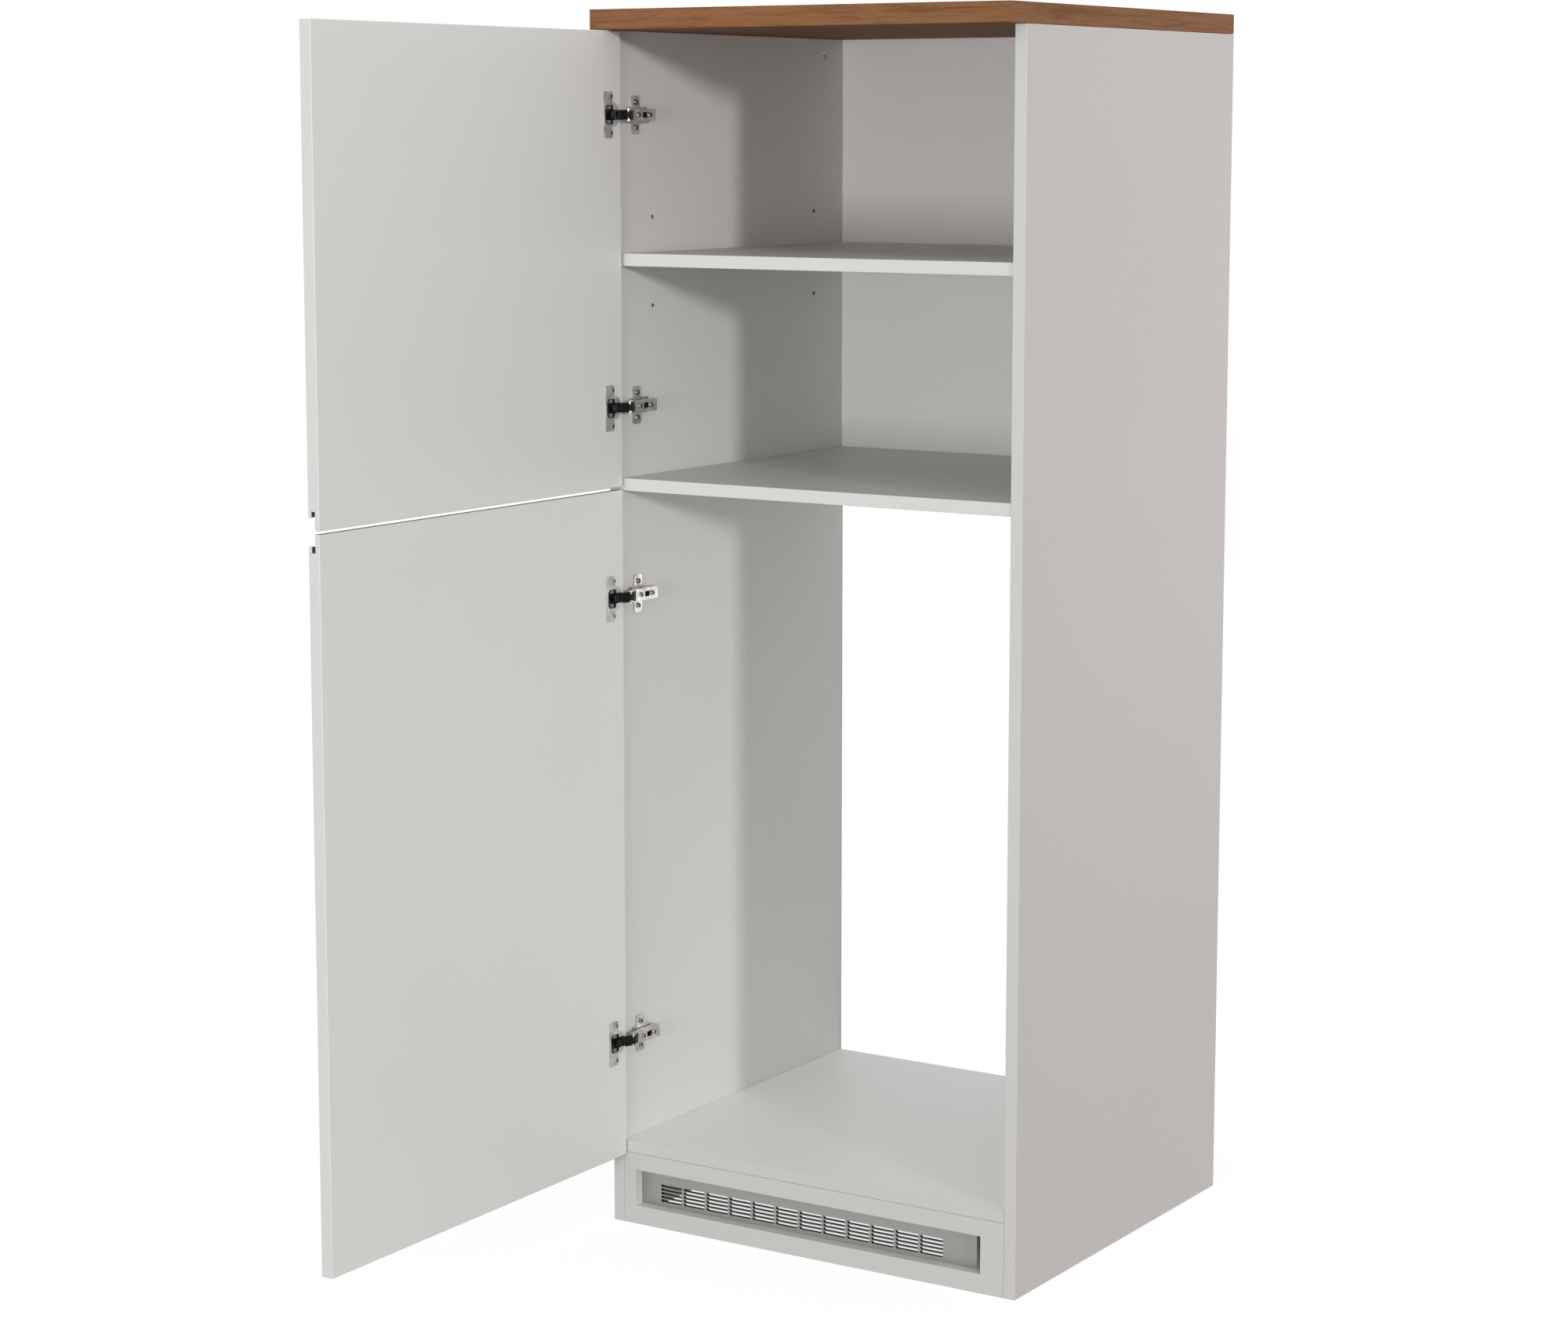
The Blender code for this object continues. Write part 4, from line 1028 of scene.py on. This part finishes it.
def make_screw(name, seat, tip, centre, head, height, shank, dome=0.35):
    """A screw along X with a dished head and a crossed drive."""
    top = seat + height
    screw = solid(name, add_cylinder(bmesh.new(), "X", seat, top, centre, head, ROUND_FACETS),
                  plated("Screw plating"))
    soften(screw, height * dome, 4)
    join(screw, add_cylinder(bmesh.new(), "X", tip, seat + height / 3, centre, shank, SMALL_FACETS))
    dish = head * 0.62
    # the dish takes a painted shade
    cut(screw, add_cylinder(bmesh.new(), "X", top - height * 0.30, top + PAST, centre, dish, ROUND_FACETS,
                            dish + PAST * 2), painted_dish_shade())
    drive = cross_outline(centre, head * 1.12, head * 0.34)
    cut(screw, add_prism(bmesh.new(), drive, "X", top - height * 0.75, top + PAST), painted_drive_shade())
    shade(screw)
    return screw


class CABINET_OT_hinges(Operator):
    """Make the four concealed hinges: plates, arms, links, cups and screws"""
    bl_idname = "cabinet.hinges"
    bl_label = "Hinges"

    cup_wall: length("Cup wall", "Wall of the cup", 0.0008)
    cup_depth: length("Cup depth", "Depth of the cup in the door", 0.0125)
    plate_far: length("Cup plate, far edge", "From the door's edge line to the plate's straight edge", 0.0405)
    plate_near: length("Cup plate, near edge", "From the door's edge line to the plate's other edge", 0.0224)
    plate_height: length("Cup plate height", "Height of the cup's plate", 0.058)
    plate_thickness: length("Cup plate thickness", "Thickness of the cup's plate", 0.0010)
    mouth_far: length("Mouth, far edge", "Far edge of the cup's mouth", 0.0381)
    mouth_step: length("Mouth, step", "Where the mouth narrows to the links' width", 0.0203)
    mouth_near: length("Mouth, near edge", "Near edge of the cup's mouth", 0.0089)
    block_front: length("Cup block, near edge", "From the door's edge line to the block's near edge", 0.0250)
    block_drop: length("Cup block drop", "From the plate's face down to the block", 0.0048)
    block_slope: share("Cup block slope", "Fall of the block's top along its length", 0.50)
    mouth_wide: length("Mouth, wide part", "Half the height of the mouth's wide part", 0.0121)
    mouth_narrow: length("Mouth, narrow part", "Half the height of the mouth's narrow part", 0.0068)
    ear_screw_pitch: length("Ear screw pitch", "Distance between the cup's two screws", 0.0455)
    ear_screw_line: length("Ear screw line", "From the door's edge line to the cup's screws", 0.0256)
    pin_radius: length("Pin radius", "Radius of the hinge pins", 0.00115)
    link_thickness: length("Link thickness", "Thickness of a link's strap", 0.0016)
    arm_height: length("Arm height", "Full height of the arm", 0.0157)
    arm_sheet: length("Arm sheet", "Thickness of the arm's sheet", 0.0012)

    def make_cup(self, look):
        seat = DOOR_FACE + SEAT_GAP
        face = seat + self.plate_thickness
        bottom = DOOR_FACE - self.cup_depth
        cup = solid("pattern_cup", add_prism(bmesh.new(), cup_plan(CUP_LIP), "X", bottom,
                                             seat + self.plate_thickness / 2), plated("Cup plating", True))
        half = self.plate_height / 2
        flange = rounded((-self.plate_far, -half), (-self.plate_near, half), FLANGE_CORNER, 5)
        join(cup, add_prism(bmesh.new(), flange, "X", seat, face))
        join(cup, add_prism(bmesh.new(), cup_plan(0.0), "X", seat, face))
        cut(cup, add_prism(bmesh.new(), cup_plan(CUP_LIP + self.cup_wall), "X", bottom + self.cup_wall, seat))
        far, step, near = -self.mouth_far, -self.mouth_step, -self.mouth_near
        wide, narrow = self.mouth_wide, self.mouth_narrow
        upper = ((near, narrow), (step, narrow), (step, wide - MOUTH_CORNER), (step - MOUTH_CORNER, wide),
                 (far + MOUTH_CUT, wide), (far, wide - MOUTH_CUT))
        lower = tuple((along, -level) for along, level in reversed(upper))
        cut(cup, add_prism(bmesh.new(), lower + upper, "X", seat - self.cup_wall, face + PAST))
        soften(cup, look.edge_radius, 2)
        join(cup, add_cylinder(bmesh.new(), "Z", -CUP_PIN_REACH, CUP_PIN_REACH, CUP_PIVOT, self.pin_radius,
                               SMALL_FACETS))
        shade(cup)

        top, base = face - self.block_drop, bottom + self.cup_wall * 1.5
        start, end = far + BLOCK_GAP, -self.block_front
        profile = ((base, start), (top, start), (top, BLOCK_BEND),
                   (top - (end - BLOCK_BEND) * self.block_slope, end), (base, end))
        block = solid("pattern_cup_block", add_prism(bmesh.new(), profile, "Z", -BLOCK_HALF_HEIGHT,
                                                     BLOCK_HALF_HEIGHT), moulded_block())
        posts = bmesh.new()
        for side in (-1, 1):
            levels = sorted((side * POST_INNER, side * POST_OUTER))
            add_box(posts, (base, POST_START, levels[0]), (face - POST_DROP, end, levels[1]))
        join(block, posts)
        soften(block, BLOCK_ROUNDING, 3)
        shade(block)
        screws = [make_screw("pattern_ear_screw", face + EAR_SCREW_LIFT, face - EAR_SCREW_SINK,
                             (-self.ear_screw_line, side * self.ear_screw_pitch / 2), **EAR_SCREW)
                  for side in (-1, 1)]
        return cup, block, screws

    def make_arm(self, look):
        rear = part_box("upper_top_arm")[1].y
        top, bottom = PANEL_FACE + ARM_TOP, PANEL_FACE + ARM_BOTTOM
        half = self.arm_height / 2
        slope = (INNER_PIVOT - ARM_PIVOT).normalized()
        across = Vector((-slope.y, slope.x))
        if across.x < 0:
            across = -across
        turns = [math.pi * step / 8 for step in range(9)]
        outline = [Vector((bottom, rear)), Vector((bottom, ARM_FRONT)), ARM_PIVOT - across * ARM_CHEEK]
        outline += [INNER_PIVOT + slope * ARM_NOSE * math.sin(turn) - across * ARM_NOSE * math.cos(turn)
                    for turn in turns]
        outline += [Vector((top, ARM_PIVOT.y)), Vector((top, rear))]
        arm = solid("pattern_arm", add_prism(bmesh.new(), outline, "Z", -half, half), plated("Arm plating"))
        web = top - self.arm_sheet
        inside = half - self.arm_sheet
        ahead = max(INNER_PIVOT.x + ARM_NOSE, top) + PAST
        front = INNER_PIVOT.y - ARM_NOSE - PAST
        channel = ((PANEL_FACE, front), (ahead, front), (ahead, CHANNEL_FRONT), (web, CHANNEL_FRONT),
                   (web, rear + PAST), (PANEL_FACE, rear + PAST))
        cut(arm, add_prism(bmesh.new(), channel, "Z", -inside, inside))
        holes = bmesh.new()
        for back in ARM_SCREWS:
            add_cylinder(holes, "X", web - PAST, top + PAST, (back, 0.0), ARM_SCREW_HOLE, ARM_HOLE_FACETS)
        slot = rounded((ARM_SLOT[0], -ARM_SLOT_HALF), (ARM_SLOT[1], ARM_SLOT_HALF), ARM_SLOT_CORNER, 3)
        cut(arm, add_prism(holes, slot, "X", web - PAST, top + PAST))
        soften(arm, look.edge_radius, 2)
        pins = bmesh.new()
        reach = half + PIN_PROUD
        for pivot in (ARM_PIVOT, INNER_PIVOT):
            add_cylinder(pins, "Z", -reach, reach, pivot, self.pin_radius, SMALL_FACETS)
        join(arm, pins)
        shade(arm)
        return arm

    def make_plate(self, look):
        low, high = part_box("upper_top_mounting_plate")
        tall = (high.z - low.z) / 2
        wing = low.x + WING_THICKNESS
        outline = rounded((WING[0], -tall), (WING[1], tall), WING_CORNER, 6)
        plate = solid("pattern_plate", add_prism(bmesh.new(), outline, "X", low.x, wing),
                      plated("Plate plating"))
        outline = rounded((low.y, -BASE_HALF_HEIGHT), (high.y - BASE_SHORT, BASE_HALF_HEIGHT), BASE_CORNER, 4)
        join(plate, add_prism(bmesh.new(), outline, "X", low.x, low.x + BASE_THICKNESS))
        half = self.arm_height / 2 - self.arm_sheet - SEAT_GAP
        join(plate, add_box(bmesh.new(), (low.x, low.y, -half), (high.x, high.y, half)))
        holes = bmesh.new()
        for side in (-1, 1):
            add_cylinder(holes, "X", low.x - PAST, wing + PAST, (PLATE_SCREW_LINE, side * PLATE_SCREW_RISE),
                         PLATE_SCREW_HOLE, HOLE_FACETS)
        for back in ARM_SCREWS:
            add_cylinder(holes, "X", high.x - SCREW_WELL, high.x + PAST, (back, 0.0), ARM_SCREW_HOLE,
                         HOLE_FACETS)
        cut(plate, holes)
        cut(plate, add_box(bmesh.new(), (high.x - SLOT_WELL, ARM_SLOT[0], -ARM_SLOT_HALF),
                           (high.x + PAST, ARM_SLOT[1], ARM_SLOT_HALF)), painted_drive_shade())
        soften(plate, look.edge_radius, 2)
        shade(plate)
        return plate

    def fan(self, centre, radius, start, end, steps=10):
        """A slice of a disc; angles run from straight out of the door towards the door's free end."""
        turns = [math.radians(start + (end - start) * step / steps) for step in range(steps + 1)]
        return [centre] + [centre + radius * Vector((math.cos(turn), -math.sin(turn))) for turn in turns]

    def make_links(self, look):
        half = self.link_thickness / 2
        outer_half = self.arm_height / 2 - self.arm_sheet - LINK_SIDE_PLAY
        inner_half = outer_half - LINK_STEP
        knee = Vector((PANEL_FACE + OUTER_KNEE[0], OUTER_KNEE[1]))
        outline = strap(bent_path(ARM_PIVOT, knee, CUP_PIVOT, KNEE_RADIUS), half)
        outer = solid("pattern_outer_link", add_prism(bmesh.new(), outline, "Z", -outer_half, outer_half),
                      blackened())
        for pivot, radius in ((ARM_PIVOT, EYE_RADIUS), (CUP_PIVOT, CUP_EYE_RADIUS)):
            join(outer, add_cylinder(bmesh.new(), "Z", -outer_half, outer_half, pivot, radius, ROUND_FACETS))
        join(outer, add_prism(bmesh.new(), self.fan(CUP_PIVOT, *HOOD), "Z", -outer_half, outer_half))
        along = (knee - ARM_PIVOT).normalized()
        start = ARM_PIVOT + (knee - ARM_PIVOT) * FORK_START
        across = Vector((-along.y, along.x))
        wide = (CUP_PIVOT - ARM_PIVOT).length
        gap = inner_half + FORK_PLAY
        fork = (start - across * wide, start + across * wide, start + (across + along) * wide,
                start + (along - across) * wide)
        cut(outer, add_prism(bmesh.new(), fork, "Z", -gap, gap))
        bores = bmesh.new()
        for pivot in (ARM_PIVOT, CUP_PIVOT):
            add_cylinder(bores, "Z", -outer_half - PAST, outer_half + PAST, pivot,
                         self.pin_radius + PIN_PLAY, HOLE_FACETS)
        cut(outer, bores)
        soften(outer, look.edge_radius * 0.8, 2)
        shade(outer)

        knee = Vector((PANEL_FACE + INNER_KNEE[0], INNER_KNEE[1]))
        end = Vector((DOOR_FACE - FREE_END[0], FREE_END[1]))
        outline = strap(bent_path(INNER_PIVOT, knee, end, KNEE_RADIUS), half)
        inner = solid("pattern_inner_link", add_prism(bmesh.new(), outline, "Z", -inner_half, inner_half),
                      blackened())
        for pivot, radius, facets in ((INNER_PIVOT, EYE_RADIUS, ROUND_FACETS),
                                      (end, FREE_EYE_RADIUS, HOLE_FACETS)):
            join(inner, add_cylinder(bmesh.new(), "Z", -inner_half, inner_half, pivot, radius, facets))
        join(inner, add_prism(bmesh.new(), self.fan(end, *NOSE), "Z", -inner_half, inner_half))
        along = (knee - INNER_PIVOT).normalized()
        cover = strap([INNER_PIVOT + along * COVER_ENDS[0], knee - along * COVER_ENDS[1]], half)
        join(inner, add_prism(bmesh.new(), cover, "Z", -COVER_HALF_HEIGHT, COVER_HALF_HEIGHT))
        cut(inner, add_cylinder(bmesh.new(), "Z", -inner_half - PAST, inner_half + PAST, INNER_PIVOT,
                                self.pin_radius + PIN_PLAY, HOLE_FACETS))
        soften(inner, look.edge_radius * 0.8, 2)
        shade(inner)
        return outer, inner

    def execute(self, context):
        look = context.scene.hinge_look
        cup, block, ear_screws = self.make_cup(look)
        arm, plate = self.make_arm(look), self.make_plate(look)
        outer, inner = self.make_links(look)
        low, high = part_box("upper_top_plate_screw_upper")
        plate_screw = make_screw("pattern_plate_screw", high.x - PLATE_SCREW["height"], low.x,
                                 (PLATE_SCREW_LINE, 0.0), **PLATE_SCREW)
        low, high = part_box("upper_top_adjuster")
        arm_screw = make_screw("pattern_arm_screw", high.x - ARM_SCREW["height"], low.x, (0.0, 0.0),
                               **ARM_SCREW)
        for door in ("upper", "lower"):
            for place in ("top", "bottom"):
                hinge = f"{door}_{place}"
                level = centre_of(hinge + "_cup").z
                body = door + "_door"
                hang(copy_at(cup, f"dressed_{hinge}_cup", level), body, "hinge_steel", hinge + "_cup")
                hang(copy_at(block, f"{hinge}_cup_block", level), body, "hinge_steel")
                for word, screw in zip(("lower", "upper"), ear_screws):
                    hang(copy_at(screw, f"{hinge}_ear_screw_{word}", level), body, "hinge_steel")
                hang(copy_at(arm, f"dressed_{hinge}_arm", level), "carcass", "hinge_steel", hinge + "_arm")
                hang(copy_at(plate, f"dressed_{hinge}_mounting_plate", level), "carcass", "hinge_steel",
                     hinge + "_mounting_plate")
                hang(copy_at(outer, f"dressed_{hinge}_outer_link", level), door + "_outer_links", "dark_link",
                     hinge + "_outer_link")
                hang(copy_at(inner, f"dressed_{hinge}_inner_link", level), door + "_inner_links", "dark_link",
                     hinge + "_inner_link")
                for word in ("lower", "upper"):
                    node = f"{hinge}_plate_screw_{word}"
                    hang(copy_at(plate_screw, "dressed_" + node, centre_of(node).z), "carcass",
                         "hinge_steel", node)
                for word in ("adjuster", "clamp_screw"):
                    node = f"{hinge}_{word}"
                    made = copy_at(arm_screw, "dressed_" + node, centre_of(node).z)
                    made.data.transform(Matrix.Translation((0.0, centre_of(node).y, 0.0)))
                    hang(made, "carcass", "hinge_steel", node)
        discard(cup, block, arm, plate, outer, inner, plate_screw, arm_screw, *ear_screws)
        return {"FINISHED"}


class CABINET_OT_stage(Operator):
    """Make the floor, the light and the camera"""
    bl_idname = "cabinet.stage"
    bl_label = "Floor, light and camera"

    def seen_directly(self, wire):
        """One for rays from the camera, from gloss and through glass, and nought for the rest."""
        rays = [wire.node("ShaderNodeLightPath", output=name)
                for name in ("Is Camera Ray", "Is Glossy Ray", "Is Transmission Ray")]
        return wire.maths("MINIMUM", rays[0] + rays[1] + rays[2], 1.0)

    def make_floor(self, look):
        shape = bmesh.new()
        bmesh.ops.create_grid(shape, x_segments=1, y_segments=1, size=FLOOR_HALF,
                              matrix=Matrix.Translation((0.0, 0.0, FLOOR_LEVEL)))
        skin = bpy.data.materials.new("Pale floor")
        skin.use_nodes = True
        tree = skin.node_tree
        wire = Wire(tree)
        shader, output = tree.nodes["Principled BSDF"], tree.nodes["Material Output"]
        shader.inputs["Base Color"].default_value = look.floor
        shader.inputs["Roughness"].default_value = 0.9
        shader.inputs["Specular IOR Level"].default_value = 0.0
        plain = Wire(tree, shader.outputs[0])
        glow = wire.node("ShaderNodeEmission", values={"Color": (1.0, 1.0, 1.0, 1.0),
                                                       "Strength": look.floor_glow})
        lifted = wire.node("ShaderNodeAddShader", values={0: plain, 1: glow})
        mixed = wire.node("ShaderNodeMixShader", values={0: self.seen_directly(wire), 1: plain, 2: lifted})
        wire.feed(output.inputs["Surface"], mixed)
        solid("floor", shape, skin)

    def make_world(self, scene, look):
        world = bpy.data.worlds.new("Pale room")
        world.use_nodes = True
        wire = Wire(world.node_tree)
        back = world.node_tree.nodes["Background"]
        back.inputs["Color"].default_value = (1.0, 1.0, 1.0, 1.0)
        seen = self.seen_directly(wire)
        wire.feed(back.inputs["Strength"], seen * (1.0 - look.ambient) + look.ambient)
        scene.world = world

    def place_lamp(self, lamp, place, turn):
        """Hangs a lamp; lamps are never seen directly."""
        obj = bpy.data.objects.new(lamp.name, lamp)
        obj.location = place
        obj.rotation_euler = turn
        obj.visible_camera = False
        bpy.context.scene.collection.objects.link(obj)

    def make_sun(self, name, strength, turn):
        elevation, width, azimuth = turn
        lamp = bpy.data.lights.new(name, "SUN")
        lamp.energy = strength
        lamp.angle = width
        place = (2.0 * math.sin(azimuth), -2.0 * math.cos(azimuth), 1.0 + 2.0 * math.tan(elevation))
        self.place_lamp(lamp, place, (math.pi / 2 - elevation, 0.0, azimuth))

    def make_soft_lamp(self, name, power, size, place, target):
        lamp = bpy.data.lights.new(name, "AREA")
        lamp.energy = power
        lamp.size = size
        aim = Vector(target) - Vector(place)
        self.place_lamp(lamp, place, aim.to_track_quat("-Z", "Y").to_euler())

    def make_camera(self, scene, look):
        data = bpy.data.cameras.new("camera")
        data.sensor_fit = "HORIZONTAL"
        data.sensor_width = 36.0
        data.lens = look.lens_mm
        data.shift_y = look.shift
        data.clip_end = 100.0
        obj = bpy.data.objects.new("camera", data)
        roll, pitch, yaw = look.turn
        obj.matrix_world = (Matrix.Translation(look.eye) @ Matrix.Rotation(yaw, 4, "Z")
                            @ Matrix.Rotation(math.pi / 2 - pitch, 4, "X") @ Matrix.Rotation(roll, 4, "Z"))
        scene.collection.objects.link(obj)
        scene.camera = obj

    def execute(self, context):
        scene, look = context.scene, context.scene.stage_look
        self.make_floor(look)
        self.make_world(scene, look)
        self.make_sun("key", look.key_strength, look.key_turn)
        self.make_soft_lamp("fill", look.fill_power, look.fill_size, look.fill_place, look.fill_target)
        self.make_soft_lamp("back", look.back_power, look.back_size, look.back_place, look.back_target)
        self.make_camera(scene, look)
        scene.view_settings.view_transform = "Standard"
        return {"FINISHED"}


class CABINET_PT_sidebar(Panel):
    """Lists the cabinet's pieces in the sidebar"""
    bl_idname = "CABINET_PT_sidebar"
    bl_label = "Tall kitchen cabinet"
    bl_space_type = "VIEW_3D"
    bl_region_type = "UI"
    bl_category = "Cabinet"

    def draw(self, context):
        for operator in OPERATORS:
            self.layout.operator(operator.bl_idname)
        for name in LOOKS:
            box = self.layout.box()
            look = getattr(context.scene, name)
            for field in look.__annotations__:
                box.prop(look, field)


OPERATORS = (CABINET_OT_side_panels, CABINET_OT_shelves, CABINET_OT_top_board, CABINET_OT_plinth,
             CABINET_OT_doors, CABINET_OT_fittings, CABINET_OT_hinges, CABINET_OT_stage)
LOOKS = {"board_look": BoardLook, "top_look": TopLook, "vent_look": VentLook, "hinge_look": HingeLook,
         "stage_look": StageLook}


def register():
    for group in LOOKS.values():
        bpy.utils.register_class(group)
    for operator in OPERATORS:
        bpy.utils.register_class(operator)
    bpy.utils.register_class(CABINET_PT_sidebar)
    for name, group in LOOKS.items():
        setattr(bpy.types.Scene, name, PointerProperty(type=group))


def unregister():
    for name in LOOKS:
        delattr(bpy.types.Scene, name)
    bpy.utils.unregister_class(CABINET_PT_sidebar)
    for operator in reversed(OPERATORS):
        bpy.utils.unregister_class(operator)
    for group in reversed(list(LOOKS.values())):
        bpy.utils.unregister_class(group)


def main():
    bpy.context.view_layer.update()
    register()
    bpy.ops.cabinet.side_panels()
    bpy.ops.cabinet.shelves()
    bpy.ops.cabinet.top_board()
    bpy.ops.cabinet.plinth()
    bpy.ops.cabinet.doors()
    bpy.ops.cabinet.fittings()
    bpy.ops.cabinet.hinges()
    bpy.ops.cabinet.stage()


if __name__ == "__main__":
    main()
